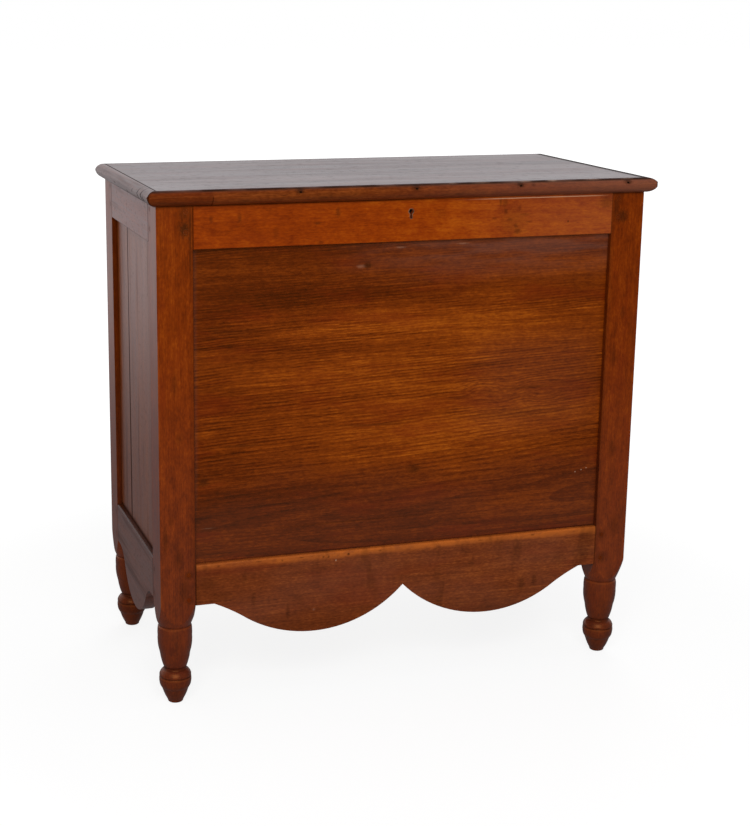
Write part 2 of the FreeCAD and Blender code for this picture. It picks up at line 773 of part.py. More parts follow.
FRONT.put("panel_front", panel_board("panel_front", -front_opening, front_opening, size.skirt_top,
                                     front_rail_bottom, ("left", "right", "bottom", "top")))
for side, to_back in ((LEFT, -1), (RIGHT, 1)):
    seam = (side_opening - size.side_seam_from_back) * to_back
    half_seam = size.side_seam_gap / 2
    for name, way in (("rear", to_back), ("front", -to_back)):
        if way > 0:
            lines = (seam + half_seam, side_opening)
            edges = ("right", "bottom", "top")
        else:
            lines = (-side_opening, seam - half_seam)
            edges = ("left", "bottom", "top")
        node = f"panel_{side.name}_{name}_board"
        side.put(node, panel_board(node, *lines, size.skirt_top, side_rail_bottom, edges))


def make_back_boards():
    """Two wide boards with a lapped joint between them, the upper one outside."""
    seam = size.skirt_top + size.back_board_height
    lap_top = seam + size.back_lap
    slack = size.joint_clearance
    half_lap = (tenon_near + tenon_far) / 2
    reach = front_opening + size.tongue_length + size.overrun
    upper_lap = block("back_upper_lap", (-reach, reach),
                      (half_lap, size.member_thickness + size.overrun),
                      (seam - size.overrun, lap_top + slack))
    lower_lap = block("back_lower_lap", (-reach, reach), (-size.overrun, half_lap + slack),
                      (seam - slack, lap_top + size.overrun))
    for name, bottom, top, edge, lap in (
            ("lower", size.skirt_top, lap_top, "bottom", lower_lap),
            ("upper", seam, side_rail_bottom, "top", upper_lap)):
        node = f"back_board_{name}"
        board = panel_board(node, -front_opening, front_opening, bottom, top, ("left", "right", edge))
        BACK.put(node, cut(f"{node}_cut", board, [lap]))


make_back_boards()


# Pegs, one group for each side

for side in (FRONT, BACK, LEFT, RIGHT):
    pegs = []
    for way in (-1, 1):
        for number, height in enumerate(peg_heights(side)):
            pegs.append(rod(f"peg_{side.name}_{number}", "y", size.peg_radius, size.peg_length,
                            (side.half_opening + size.peg_setback) * way, ZERO, height))
    side.put(f"pegs_{side.name}", group(f"pegs_{side.name}_group", pegs))


# Floor: strips along the inside of the frame, and three boards that lie on them.

def make_floor():
    cleat = (size.member_thickness, size.member_thickness + size.cleat_size)
    heights = (floor_bottom - size.cleat_size, floor_bottom)
    for side in (FRONT, BACK, LEFT, RIGHT):
        reach = side.half_opening - size.panel_shoulder_gap
        strip = block(f"cleat_{side.name}", (-reach, reach), cleat, heights)
        side.put(f"floor_cleat_{side.name}", group(f"cleat_{side.name}_strip", [strip]))
    gap = size.floor_gap
    width = (inner_back - inner_front) / len(FLOOR_BOARDS)
    half = inner_x - gap
    for number, name in enumerate(FLOOR_BOARDS):
        start = inner_front + width * number
        y = (start + gap / 2, start + width - gap / 2)
        board = block(f"floor_{name}", (-half, half), y, (floor_bottom, floor_top))
        notch_x = front_opening - gap
        heights = (floor_bottom - size.overrun, floor_top + size.overrun)
        if name == "front":
            notch_y = (inner_front - size.overrun, front_y + size.post_size + gap)
        else:
            notch_y = (back_y - size.post_size - gap, inner_back + size.overrun)
        if name != "middle":
            notches = [block(f"floor_{name}_notch", span(way, notch_x, inner_x + size.overrun),
                             notch_y, heights) for way in (-1, 1)]
            board = cut(f"floor_{name}_cut", board, notches)
        keep(f"floor_board_{name}", board)


make_floor()


# Dividers: two walls that make three bins, held in grooved strips front and back.

def make_dividers():
    half = size.divider_thickness / 2
    slack = size.joint_clearance
    top = case_top - size.divider_drop
    heights = (floor_top, top)
    offset = inner_x - size.end_bin_width - half
    for name, middle in (("left", -offset), ("right", offset)):
        depth = size.divider_cleat_thickness
        housing = depth - size.divider_housing
        y = (inner_front + housing + slack, inner_back - housing - slack)
        wall = block(f"divider_{name}_wall", (middle - half, middle + half), y, heights)
        keep(f"divider_{name}", wall)
        x = (middle - size.divider_cleat_width / 2, middle + size.divider_cleat_width / 2)
        groove_x = (middle - half - slack, middle + half + slack)
        groove_z = (floor_top - size.overrun, top + size.overrun)
        for end, strip_y, groove_y in (
                ("front", (inner_front, inner_front + depth),
                 (inner_front + housing, inner_front + depth + size.overrun)),
                ("rear", (inner_back - depth, inner_back),
                 (inner_back - depth - size.overrun, inner_back - housing))):
            strip = block(f"divider_{name}_{end}_strip", x, strip_y, heights)
            groove = block(f"divider_{name}_{end}_groove", groove_x, groove_y, groove_z)
            keep(f"divider_cleat_{name}_{end}", cut(f"divider_{name}_{end}_cut", strip, [groove]))


make_dividers()


# Lid: two boards, mitred mouldings on three edges, two battens underneath.

batten_x = half_width - size.batten_set_in
batten_front = inner_front + size.batten_end_gap
batten_back = inner_back - size.batten_end_gap
batten_bottom = lid_bottom - size.batten_thickness


def batten_screws():
    """Places of the screws through the battens."""
    length = batten_back - batten_front
    return [(batten_x * way, batten_front + length * share)
            for way in (-1, 1) for share in BATTEN_SCREW_SHARES]


def strike_screws():
    return [((size.strike_width / 2 - size.screw_head_radius * 2) * way, bolt_y) for way in (-1, 1)]


def make_lid_boards():
    seam = front_y + size.lid_front_board_depth
    slack = size.recess_clearance
    strike_x = size.strike_width / 2 + slack
    strike_y = size.strike_depth / 2 + slack
    below = lid_bottom - size.overrun
    front_cuts = [block("lid_strike_recess", (-strike_x, strike_x),
                        (bolt_y - strike_y, bolt_y + strike_y),
                        (below, lid_bottom + size.strike_thickness))]
    front_cuts += [screw_hole("lid_strike_screw", "z", x, y, lid_bottom) for x, y in strike_screws()]
    rear_cuts = []
    for x, y in batten_screws():
        cuts = front_cuts if y.number < seam.number else rear_cuts
        cuts.append(screw_hole("lid_batten_screw", "z", x, y, batten_bottom,
                               size.batten_screw_length))
    half = size.hinge_length / 2 + slack
    for name, middle in hinge_places.items():
        rear_cuts.append(block(f"lid_{name}_hinge_recess", (middle - half, middle + half),
                               (leaf_front - slack, back_y + size.overrun),
                               (below, lid_bottom + size.hinge_leaf_thickness)))
        rear_cuts += [screw_hole(f"lid_{name}_hinge_screw", "z", x, y, lid_bottom)
                      for x, y in hinge_screws(middle)]
    x = (-half_width, half_width)
    z = (lid_bottom, lid_top)
    front = block("lid_front_stock", x, (front_y, seam - size.lid_seam / 2), z)
    rear = block("lid_rear_stock", x, (seam + size.lid_seam / 2, back_y), z)
    keep("lid_board_front", cut("lid_front_cut", front, front_cuts))
    keep("lid_board_rear", cut("lid_rear_cut", rear, rear_cuts))


make_lid_boards()


def moulding_outline():
    """Section of the moulding: flat top, rounded nose, quarter round back to the case."""
    out = -size.lid_overhang
    return [
        (ZERO, lid_bottom, None),
        (ZERO, lid_top, None),
        (-size.moulding_flat, lid_top, None),
        (out, lid_top - size.moulding_nose_drop, -size.moulding_nose_bulge),
        (-size.moulding_foot, lid_bottom, -size.moulding_belly_bulge),
    ]


def make_moulding(node, side, half, mitred):
    """A moulded strip along a side of the lid; mitred names the ends that are mitred."""
    body = new_body(f"{node}_strip")
    section = new_sketch(body, f"{node}_section", "YZ_Plane")
    draw(section, moulding_outline())
    long_half = half + size.lid_overhang + size.overrun
    pad(body, f"{node}_pad", section, long_half * 2, both_ways=True)
    reach = size.lid_overhang * MITRE_SHARE
    heights = (lid_bottom - size.overrun, lid_top + size.overrun)
    radius = size.lid_corner_radius
    tools = []
    for way, end in ((-1, "left"), (1, "right")):
        if end not in mitred:
            tools.append(block(f"{node}_{end}_square", span(way, half, long_half + size.overrun),
                               (-reach, size.overrun), heights))
            continue
        mitre = block(f"{node}_{end}_mitre", (ZERO, reach), (ZERO, reach), heights)
        turn = Rotation(Vector(0, 0, 1), -45 if way > 0 else 135)
        place(mitre, half * way, ZERO, heights[0], turn)
        tip = half + size.lid_overhang
        waste = block(f"{node}_{end}_corner", span(way, tip - radius, tip + size.overrun),
                      (-size.lid_overhang - size.overrun, radius - size.lid_overhang), heights)
        round_corner = rod(f"{node}_{end}_round", "z", radius, heights[1] - heights[0],
                           (tip - radius) * way, radius - size.lid_overhang, heights[0])
        tools += [mitre, cut(f"{node}_{end}_waste", waste, [round_corner])]
    side.put(node, cut(f"{node}_cut", body, tools))


make_moulding("lid_moulding_front", FRONT, half_width, ("left", "right"))
make_moulding("lid_moulding_left", LEFT, size.case_depth / 2, ("right",))
make_moulding("lid_moulding_right", RIGHT, size.case_depth / 2, ("left",))


def make_battens():
    """Strips across the grain of the lid, sloped at their ends, screwed from below."""
    taper = size.batten_taper
    for name, way in (("left", -1), ("right", 1)):
        body = new_body(f"batten_{name}_strip")
        profile = new_sketch(body, f"batten_{name}_profile", "YZ_Plane", batten_x * way)
        draw(profile, [
            (batten_front, lid_bottom, None),
            (batten_front, lid_bottom - taper, None),
            (batten_front + taper, batten_bottom, None),
            (batten_back - taper, batten_bottom, None),
            (batten_back, lid_bottom - taper, None),
            (batten_back, lid_bottom, None),
        ])
        pad(body, f"batten_{name}_pad", profile, size.batten_width, both_ways=True)
        holes = [screw_hole(f"batten_{name}_screw", "z", x, y, batten_bottom,
                            size.batten_screw_length)
                 for x, y in batten_screws() if x.number * way > 0]
        keep(f"lid_batten_{name}", cut(f"batten_{name}_cut", body, holes))


make_battens()


# Hinges: two leaves, five knuckles between them, and a pin.

def make_hinge(name, middle):
    half = size.hinge_length / 2
    knuckle = size.hinge_length / KNUCKLES
    thickness = size.hinge_leaf_thickness
    leaves = {
        "case": (range(0, KNUCKLES, 2), (case_top - thickness, case_top), "-z", case_top),
        "lid": (range(1, KNUCKLES, 2), (lid_bottom, lid_bottom + thickness), "z", lid_bottom),
    }
    for part, (knuckles, heights, drive, face) in leaves.items():
        label = f"hinge_{name}_{part}"
        shapes = [block(f"{label}_plate", (middle - half, middle + half), (leaf_front, back_y),
                        heights)]
        for number in knuckles:
            start = middle - half + knuckle * number + size.knuckle_clearance / 2
            end = start + knuckle - size.knuckle_clearance
            shapes.append(block(f"{label}_tongue_{number}", (start, end),
                                (back_y - thickness, pin_y), heights))
            shapes.append(rod(f"{label}_knuckle_{number}", "x", size.knuckle_radius, end - start,
                              start, pin_y, pin_z))
        bore = rod(f"{label}_bore", "x", size.pin_radius + size.pin_clearance,
                   size.hinge_length + size.overrun * 2, middle - half - size.overrun, pin_y, pin_z)
        holes = [screw_hole(f"{label}_hole", drive, x, y, face) for x, y in hinge_screws(middle)]
        keep(f"{label}_leaf", cut(f"{label}_cut", fuse(f"{label}_solid", shapes), [bore] + holes))
    keep(f"hinge_{name}_pin", rod(f"hinge_{name}_wire", "x", size.pin_radius,
                                  size.hinge_length + size.pin_end * 2,
                                  middle - half - size.pin_end, pin_y, pin_z))


for hinge_name, hinge_middle in hinge_places.items():
    make_hinge(hinge_name, hinge_middle)


# Lock: plate, selvedge and box in one; front cover; bolt; bow spring; key pin; escutcheon.

def make_lock_case():
    slot_x = size.staple_thickness / 2 + size.staple_slack
    slot_y = size.staple_width / 2 + size.staple_slack
    wall = size.lock_wall
    inside = half_box - wall
    plate = block("lock_back_plate", (-half_lock, half_lock), (plate_front, lock_back),
                  (plate_bottom, case_top))
    selvedge = block("lock_selvedge", (-half_lock, half_lock), (lock_front, lock_back),
                     (selvedge_bottom, case_top))
    box = block("lock_box", (-half_box, half_box), (cover_back, plate_front),
                (box_bottom, selvedge_bottom))
    hollow = block("lock_hollow", (-inside, inside), (cover_back - size.overrun, plate_front),
                   (box_bottom + wall, selvedge_bottom))
    rim = cut("lock_rim", box, [hollow])
    guides = []
    for way in (-1, 1):
        x = span(way, inside - size.bolt_guide_length, inside)
        guides.append(block("lock_plate_guide", x,
                            (bolt_y + size.bolt_thickness / 2 + size.bolt_guide_gap, plate_front),
                            (bolt_bottom, bolt_bottom + size.bolt_guide_height)))
        guides.append(block("lock_ledge", span(way, inside - size.bolt_guide_length / 2, inside),
                            (cover_back, plate_front),
                            (bolt_bottom - size.bolt_guide_gap - size.bolt_ledge,
                             bolt_bottom - size.bolt_guide_gap)))
    slot_heights = (selvedge_bottom - size.overrun, case_top + size.overrun)
    slots = [block("selvedge_slot", span(way, size.staple_offset - slot_x, size.staple_offset + slot_x),
                   (bolt_y - slot_y, bolt_y + slot_y), slot_heights) for way in (-1, 1)]
    holes = [screw_hole("lock_plate_hole", "-y", lock_screw_x * way, lock_back, height)
             for way in (-1, 1) for height in lock_screw_heights]
    pin_hole = rod("key_pin_hole", "-y", size.keyhole_slot / 2, size.lock_plate, ZERO, lock_back,
                   key_z)
    solid = fuse("lock_case_solid", [plate, selvedge, rim] + guides)
    keep("lock_case", cut("lock_case_cut", solid, slots + holes + [pin_hole]))


def make_lock_cover():
    """Front cover of the box, with the keyhole and the bolt's front guides."""
    gap = size.bolt_guide_gap
    inside = half_box - size.lock_wall - gap
    sheet_metal = block("lock_cover_sheet", (-half_box, half_box), (lock_front, cover_back),
                        (box_bottom, selvedge_bottom))
    guides = [block("lock_cover_guide", span(way, inside - size.bolt_guide_length, inside),
                    (lock_front, bolt_y - size.bolt_thickness / 2 - gap),
                    (bolt_bottom, bolt_bottom + size.bolt_guide_height)) for way in (-1, 1)]
    solid = fuse("lock_cover_solid", [sheet_metal] + guides)
    hole = keyhole("cover_keyhole", ZERO, (lock_front - size.overrun, cover_back + size.overrun))
    keep("lock_cover", cut("lock_cover_cut", solid, [hole]))


def make_bolt():
    """A flat bolt with two fingers that slide through the staples, and a notch for the key."""
    y = (bolt_y - size.bolt_thickness / 2, bolt_y + size.bolt_thickness / 2)
    through = (y[0] - size.overrun, y[1] + size.overrun)
    left = -size.bolt_left_reach
    bar = block("bolt_bar", (left, left + size.bolt_length), y, (bolt_bottom, bolt_top))
    staple_foot = lid_bottom - size.staple_drop
    half_staple = size.staple_thickness / 2
    finger_bottom = staple_foot + size.staple_wire + size.bolt_slack
    cuts = []
    for way in (-1, 1):
        staple = size.staple_offset * way
        tip = staple - half_staple - size.bolt_slack
        cuts.append(block("bolt_gate", (tip, staple + half_staple + size.bolt_slack), through,
                          (staple_foot - size.bolt_slack, bolt_top + size.overrun)))
        finger = (tip - size.bolt_throw - size.bolt_slack, tip + size.bolt_slack)
        cuts.append(block("bolt_under_finger", finger, through,
                          (staple_foot - size.bolt_slack, finger_bottom)))
        cuts.append(block("bolt_over_finger", finger, through,
                          (finger_bottom + size.bolt_finger, bolt_top + size.overrun)))
    talon = (-size.talon_offset - size.talon_width / 2, size.talon_width / 2 - size.talon_offset)
    cuts.append(block("bolt_talon", talon, through,
                      (bolt_bottom - size.overrun, bolt_bottom + size.talon_height)))
    keep("lock_bolt", cut("lock_bolt_cut", bar, cuts))


def make_spring():
    """A bowed strip between the selvedge and the top of the bolt."""
    half = size.spring_span / 2
    top = selvedge_bottom - size.spring_clearance
    rise = top - bolt_top - size.spring_clearance - size.spring_thickness
    body = new_body("spring_strip")
    profile = new_sketch(body, "spring_profile", "XZ_Plane", -bolt_y + size.bolt_thickness / 2)
    draw(profile, [
        (-half, top - size.spring_thickness, None),
        (half, top - size.spring_thickness, -rise),
        (half, top, None),
        (-half, top, rise),
    ])
    pad(body, "spring_pad", profile, size.bolt_thickness, inward=True)
    keep("lock_spring", body)


make_lock_case()
make_lock_cover()
make_bolt()
make_spring()
keep("lock_key_pin", rod("key_pin", "y", size.keyhole_slot / 2 - size.fit_clearance,
                         lock_back - cover_back - size.bolt_guide_gap,
                         ZERO, cover_back + size.bolt_guide_gap, key_z))
escutcheon_y = (ZERO, size.escutcheon_depth)
escutcheon_plate = keyhole("escutcheon_outer", size.escutcheon_wall, escutcheon_y)
escutcheon_hole = keyhole("escutcheon_inner", ZERO,
                          (-size.overrun, size.escutcheon_depth + size.overrun))
FRONT.put("keyhole_escutcheon", cut("escutcheon_cut", escutcheon_plate, [escutcheon_hole]))


# Strike: a plate in the lid with two staples that drop into the lock.

def make_strike():
    half_x = size.strike_width / 2
    half_y = size.strike_depth / 2
    plate = block("strike_sheet", (-half_x, half_x), (bolt_y - half_y, bolt_y + half_y),
                  (lid_bottom, lid_bottom + size.strike_thickness))
    half_staple = size.staple_width / 2
    eye = half_staple - size.staple_wire
    foot = lid_bottom - size.staple_drop
    shapes = [plate]
    for way in (-1, 1):
        staple = size.staple_offset * way
        x = (staple - size.staple_thickness / 2, staple + size.staple_thickness / 2)
        loop = block("staple_loop", x, (bolt_y - half_staple, bolt_y + half_staple),
                     (foot, lid_bottom))
        hole = block("staple_eye", (x[0] - size.overrun, x[1] + size.overrun),
                     (bolt_y - eye, bolt_y + eye), (foot + size.staple_wire, lid_bottom))
        shapes.append(cut("staple", loop, [hole]))
    holes = [screw_hole("strike_hole", "z", x, y, lid_bottom) for x, y in strike_screws()]
    keep("strike_plate", cut("strike_cut", fuse("strike_solid", shapes), holes))


make_strike()


# Screws, grouped by what they hold

case_screws = [screw("case_hinge_screw", "-z", x, y, case_top)
               for middle in hinge_places.values() for x, y in hinge_screws(middle)]
case_screws += [screw("lock_screw", "-y", lock_screw_x * way, lock_back, height)
                for way in (-1, 1) for height in lock_screw_heights]
keep("case_screws", group("case_screws_group", case_screws))
lid_screws = [screw("lid_hinge_screw", "z", x, y, lid_bottom)
              for middle in hinge_places.values() for x, y in hinge_screws(middle)]
lid_screws += [screw("strike_screw", "z", x, y, lid_bottom) for x, y in strike_screws()]
keep("lid_screws", group("lid_screws_group", lid_screws))
long_screws = [screw("batten_screw", "z", x, y, batten_bottom, size.batten_screw_length)
               for x, y in batten_screws()]
keep("lid_batten_screws", group("batten_screws_group", long_screws))


# Recompute, test every object, then write each piece

doc.recompute()
failed = [feature.Name for feature in doc.Objects if {"Invalid", "Error"} & set(feature.State)]
assert not failed, failed
for node, feature in parts.items():
    assert not feature.Shape.isNull() and feature.Shape.isValid(), node
    assert feature.Shape.Solids, node

os.makedirs("parts", exist_ok=True)
for node, feature in parts.items():
    feature.Shape.exportStep(f"parts/{node}.step")
whole = Part.makeCompound([feature.Shape for feature in parts.values()]).optimalBoundingBox()
print(f"{len(parts)} pieces, {sum(len(feature.Shape.Solids) for feature in parts.values())} solids")
print(f"outline {whole.XLength:.1f} x {whole.YLength:.1f} x {whole.ZLength:.1f} mm, "
      f"x {whole.XMin:.2f}..{whole.XMax:.2f}, y {whole.YMin:.2f}..{whole.YMax:.2f}, "
      f"z from {whole.ZMin:.2f}")
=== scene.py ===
# %% [markdown]
# # A sugar chest in cherry
# The real object is a joined chest: four square posts with turned feet, rails and scalloped
# skirts between them, panels in grooves, and a lid on two hinges. Its construction is loaded
# as a fixed frame of separate pieces. This lesson gives each piece its wood, brass or iron,
# and adds the small things that a maker adds last: nails, wax, wear and dirt.

# %% Load the packed chest
import math
import random

import bpy
from mathutils import Matrix, Vector


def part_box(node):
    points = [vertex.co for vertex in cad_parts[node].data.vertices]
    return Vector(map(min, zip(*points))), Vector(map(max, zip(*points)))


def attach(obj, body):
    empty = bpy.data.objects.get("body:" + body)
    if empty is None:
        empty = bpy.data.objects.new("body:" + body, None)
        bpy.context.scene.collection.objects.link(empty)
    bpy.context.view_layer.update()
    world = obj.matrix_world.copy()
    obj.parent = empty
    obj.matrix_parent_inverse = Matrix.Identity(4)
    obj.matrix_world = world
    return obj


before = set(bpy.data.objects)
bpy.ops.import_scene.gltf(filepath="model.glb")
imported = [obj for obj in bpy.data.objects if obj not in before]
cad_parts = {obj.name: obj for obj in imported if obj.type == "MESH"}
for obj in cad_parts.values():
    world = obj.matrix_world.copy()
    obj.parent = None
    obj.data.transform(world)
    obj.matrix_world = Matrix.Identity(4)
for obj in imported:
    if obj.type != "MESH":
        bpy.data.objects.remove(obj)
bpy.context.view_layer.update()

# %% [markdown]
# ## The camera
# A photograph's camera can be found again from edges that are known to be level, upright or
# square. Azimuth, elevation and distance put it on a sphere round a point of the chest, and a
# small roll tilts it. The chest isn't in the middle of the lens's axis, so the sensor is
# shifted: a shift keeps the uprights as they are, where turning the camera would change them.

# %% Camera
IMAGE_WIDTH = 750
IMAGE_HEIGHT = 826
CAMERA_AZIMUTH = math.radians(-17.78)
CAMERA_ELEVATION = math.radians(13.49)
CAMERA_ROLL = math.radians(0.53)
CAMERA_DISTANCE = 2.9441
CAMERA_TARGET = Vector((-0.1021, 0.004, 0.494))
FOCAL_PX = 1638.65
AXIS_PX = (311.2, 384.2)
SENSOR_MM = 36


def place_camera():
    """A camera on its sphere, rolled, with its sensor shifted to the photograph's frame."""
    across = math.cos(CAMERA_ELEVATION)
    back = Vector((math.sin(CAMERA_AZIMUTH) * across, -math.cos(CAMERA_AZIMUTH) * across,
                   math.sin(CAMERA_ELEVATION)))
    right = Vector((0, 0, 1)).cross(back).normalized()
    up = back.cross(right)
    turned_right = right * math.cos(CAMERA_ROLL) + up * math.sin(CAMERA_ROLL)
    turned_up = up * math.cos(CAMERA_ROLL) - right * math.sin(CAMERA_ROLL)
    axes = Matrix((turned_right, turned_up, back)).transposed()
    bpy.ops.object.camera_add()
    camera = bpy.context.object
    camera.matrix_world = Matrix.Translation(CAMERA_TARGET + back * CAMERA_DISTANCE) @ axes.to_4x4()
    lens = camera.data
    lens.sensor_fit = "VERTICAL"
    lens.sensor_height = SENSOR_MM
    lens.lens = FOCAL_PX / IMAGE_HEIGHT * SENSOR_MM
    lens.shift_x = (IMAGE_WIDTH / 2 - AXIS_PX[0]) / IMAGE_HEIGHT
    lens.shift_y = (AXIS_PX[1] - IMAGE_HEIGHT / 2) / IMAGE_HEIGHT
    bpy.context.scene.camera = camera
    return camera


camera = place_camera()
print("camera at", [round(value, 3) for value in camera.location],
      "with a lens of", round(camera.data.lens, 1), "mm")

# %% [markdown]
# ## Sums with wires
# A wood is a sum of patterns: rings, fibres, pores, wear. With nodes alone each sum takes a page
# of links, and it is hard to see what is added to what. So a wire from a node is wrapped in a
# small class here, and adding or multiplying wires adds a Math node.


# %% Wire
class Wire:
    """What comes out of a node's socket."""

    def __init__(self, recipe, socket):
        self.recipe = recipe
        self.socket = socket

    def output(self, name):
        """Another output of the same node."""
        return Wire(self.recipe, self.socket.node.outputs[name])

    def __add__(self, other):
        return self.recipe.maths("ADD", self, other)

    def __radd__(self, other):
        return self.recipe.maths("ADD", other, self)

    def __sub__(self, other):
        return self.recipe.maths("SUBTRACT", self, other)

    def __rsub__(self, other):
        return self.recipe.maths("SUBTRACT", other, self)

    def __mul__(self, other):
        return self.recipe.maths("MULTIPLY", self, other)

    def __truediv__(self, other):
        return self.recipe.maths("DIVIDE", self, other)

    def __neg__(self):
        return self.recipe.maths("MULTIPLY", self, -1.0)

    def __abs__(self):
        return self.recipe.maths("ABSOLUTE", self)


print("a wire can:", [name.strip("_") for name, value in vars(Wire).items() if callable(value)])

# %% [markdown]
# ## Colours as a screen shows them
# A colour is easiest to judge as the three numbers that a screen shows, from 0 to 255. Shaders
# add up light, so they want linear values. One function turns the first into the second, and
# every colour of the chest goes through it.


# %% Colours
def colour(red, green, blue):
    """A colour as a screen shows it, 0 to 255, turned into the linear one that shaders use."""
    def linear(value):
        share = value / 255
        return share / 12.92 if share <= 0.04045 else ((share + 0.055) / 1.055) ** 2.4
    return (linear(red), linear(green), linear(blue), 1)


GRIME_AND_SHADE = colour(24, 9, 3)
print("a middle orange brown is", [round(value, 3) for value in colour(128, 52, 6)])

# %% [markdown]
# ## The recipe of a material
# A material is a tree of nodes. One method adds any node, with its settings first, because the
# kind of a mix or a ramp decides which sockets it has. Dirt isn't only a darker colour: it takes
# the shine away too. So grime is a second, matt surface, and a mask mixes it over the first. The
# same matt dark surface is also painted shade in recesses, in grooves and under overhangs.


# %% Recipe
class Recipe:
    """The node tree of one material."""

    def __init__(self, name):
        self.material = bpy.data.materials.new(name)
        self.material.use_nodes = True
        self.tree = self.material.node_tree
        self.tree.nodes.clear()

    def node(self, kind, settings=None, values=None, output=0):
        """Add a node: its settings first, then the values or wires of its sockets."""
        node = self.tree.nodes.new(kind)
        for name, setting in (settings or {}).items():
            if name == "stops":
                stops = node.color_ramp.elements
                while len(stops) < len(setting):
                    stops.new(1)
                for stop, (place, tint) in zip(stops, setting):
                    stop.position = place
                    stop.color = (*tint, 1)
            else:
                setattr(node, name, setting)
        for socket, value in (values or {}).items():
            if isinstance(value, Wire):
                self.tree.links.new(value.socket, node.inputs[socket])
            else:
                node.inputs[socket].default_value = value
        return Wire(self, node.outputs[output]) if node.outputs else None

    def maths(self, operation, *values):
        return self.node("ShaderNodeMath", {"operation": operation}, dict(enumerate(values)))

    def point(self, x, y, z):
        return self.node("ShaderNodeCombineXYZ", values={0: x, 1: y, 2: z})

    def noise(self, place, scale, detail=2, roughness=0.5):
        return self.node("ShaderNodeTexNoise", values={"Vector": place, "Scale": scale,
                                                       "Detail": detail, "Roughness": roughness})

    def step(self, value, low, high, start=0.0, end=1.0):
        """A smooth rise from start to end as the value goes from low to high."""
        return self.node("ShaderNodeMapRange", {"interpolation_type": "SMOOTHSTEP"},
                         {"Value": value, "From Min": low, "From Max": high,
                          "To Min": start, "To Max": end})

    def length(self, vector):
        return self.node("ShaderNodeVectorMath", {"operation": "LENGTH"}, {0: vector},
                         output="Value")

    def mix(self, factor, first, second):
        """Mix two colours."""
        return self.node("ShaderNodeMix", {"data_type": "RGBA"},
                         {0: factor, 6: first, 7: second}, output=2)

    def bump(self, height):
        """A relief, from a height in metres."""
        return self.node("ShaderNodeBump",
                         values={"Strength": 1.0, "Distance": 1.0, "Height": height})

    def finish(self, grime=None, **sockets):
        """The surface, with a matt crust over it. Socket names have underscores for spaces here."""
        values = {name.replace("_", " "): value for name, value in sockets.items()}
        surface = self.node("ShaderNodeBsdfPrincipled", values=values)
        if grime is not None:
            crust = self.node("ShaderNodeBsdfPrincipled", values={
                "Base Color": GRIME_AND_SHADE, "Roughness": 1.0, "Specular IOR Level": 0.0})
            surface = self.node("ShaderNodeMixShader", values={0: grime, 1: surface, 2: crust})
        self.node("ShaderNodeOutputMaterial", values={"Surface": surface})
        return self.material


print("a recipe can:", [name for name in vars(Recipe) if not name.startswith("_")])

# %% [markdown]
# ## How a board gets its grain
# A board is cut from a trunk, so its grain is a solid thing: yearly rings round a pith that
# lies outside the board, and fibres along it. The pattern here is worked out in the board's own
# space. The distance from the pith gives the rings, a little tilt of the pith gives the long
# arches of a flat sawn board, and stretched noise gives fibres and pores. An end of the board
# then shows end grain by itself, which a flat picture of wood can't do.

# %% Grain
GRAIN_ORDER = {"x": "XYZ", "y": "YXZ", "z": "ZXY"}
RING_SOFT = 0.0020


class Board:
    """Lengths along and across the grain of a board, and the patterns that they give."""

    def __init__(self, recipe, grain, seed):
        self.recipe = recipe
        place = recipe.node("ShaderNodeTexCoord", output="Object")
        split = recipe.node("ShaderNodeSeparateXYZ", values={0: place})
        self.x, self.y, self.z = [split.output(name) for name in "XYZ"]
        self.along, self.wide, self.deep = [split.output(name) for name in GRAIN_ORDER[grain]]
        draw = random.Random(seed)
        self.shift = [draw.uniform(-9, 9) for _ in range(3)]

    def streaks(self, along, across, detail=2, roughness=0.5):
        """Noise from -0.5 to 0.5, with so many features in a metre along and across the grain."""
        r = self.recipe
        place = r.point(self.along * along + self.shift[0], self.wide * across + self.shift[1],
                        self.deep * across + self.shift[2])
        return r.noise(place, 1, detail, roughness) - 0.5

    def lines(self, along, across, swirl):
        """Long fine lines that waver along the grain. A swirl moves them by metres."""
        r = self.recipe
        drift = self.streaks(5, 9, 2) * 0.016 + swirl
        place = r.point(self.along * along + self.shift[1], (self.wide + drift) * across,
                        (self.deep + drift) * across)
        return r.noise(place, 1, 2, 0.65) - 0.5

    def years(self, pith, tilt, ring_width, bend, swirl):
        """The dark late wood of each year, fading in and out along the board."""
        r = self.recipe
        wide = self.wide - pith[0] + self.along * tilt[0] + self.streaks(1.6, 6) * bend
        deep = (self.deep - pith[1] + self.along * tilt[1] + self.streaks(12, 45) * ring_width
                + swirl)
        radius = r.length(r.point(wide, deep, 0))
        uneven = r.noise(r.point(radius * 55, self.shift[1], 0), 1) * 2
        late = r.step(r.maths("FRACT", radius / ring_width + uneven), 0.35, 0.95)
        return late * r.step(self.streaks(3, 30), -0.12, 0.12, 0.2, 1.0)

    def edge(self, value, limit, width):
        """1 at a limit and past it, fading to 0 a width before it."""
        return self.recipe.step(value, limit - width, limit)

    def band(self, value, middle, half, soft):
        """1 within half a width of the middle, fading out over a soft margin."""
        return self.recipe.step(abs(value - middle), half, half + soft, 1.0, 0.0)

    def rings(self, places):
        """Bands round a turned foot: each has its height, its half width and its depth."""
        total = 0.0
        for height, half, depth in places:
            ring = self.band(self.z, height, half, RING_SOFT) * depth
            total = self.recipe.maths("MAXIMUM", total, ring)
        return total

    def spots(self, across, up, places):
        """Marks on a face: each has its place, its half width and half height, and its depth."""
        r = self.recipe
        ragged = (r.noise(r.point(self.x * 350, self.y * 350, self.z * 350), 1) - 0.5) * 1.1
        total = 0.0
        for place_across, place_up, wide, tall, depth in places:
            far = r.length(r.point((across - place_across) / wide, (up - place_up) / tall, 0))
            total = r.maths("MAXIMUM", total, r.step(far + ragged, 0.2, 1.3, depth, 0.0))
        return total


print("grain runs along", sorted(GRAIN_ORDER))
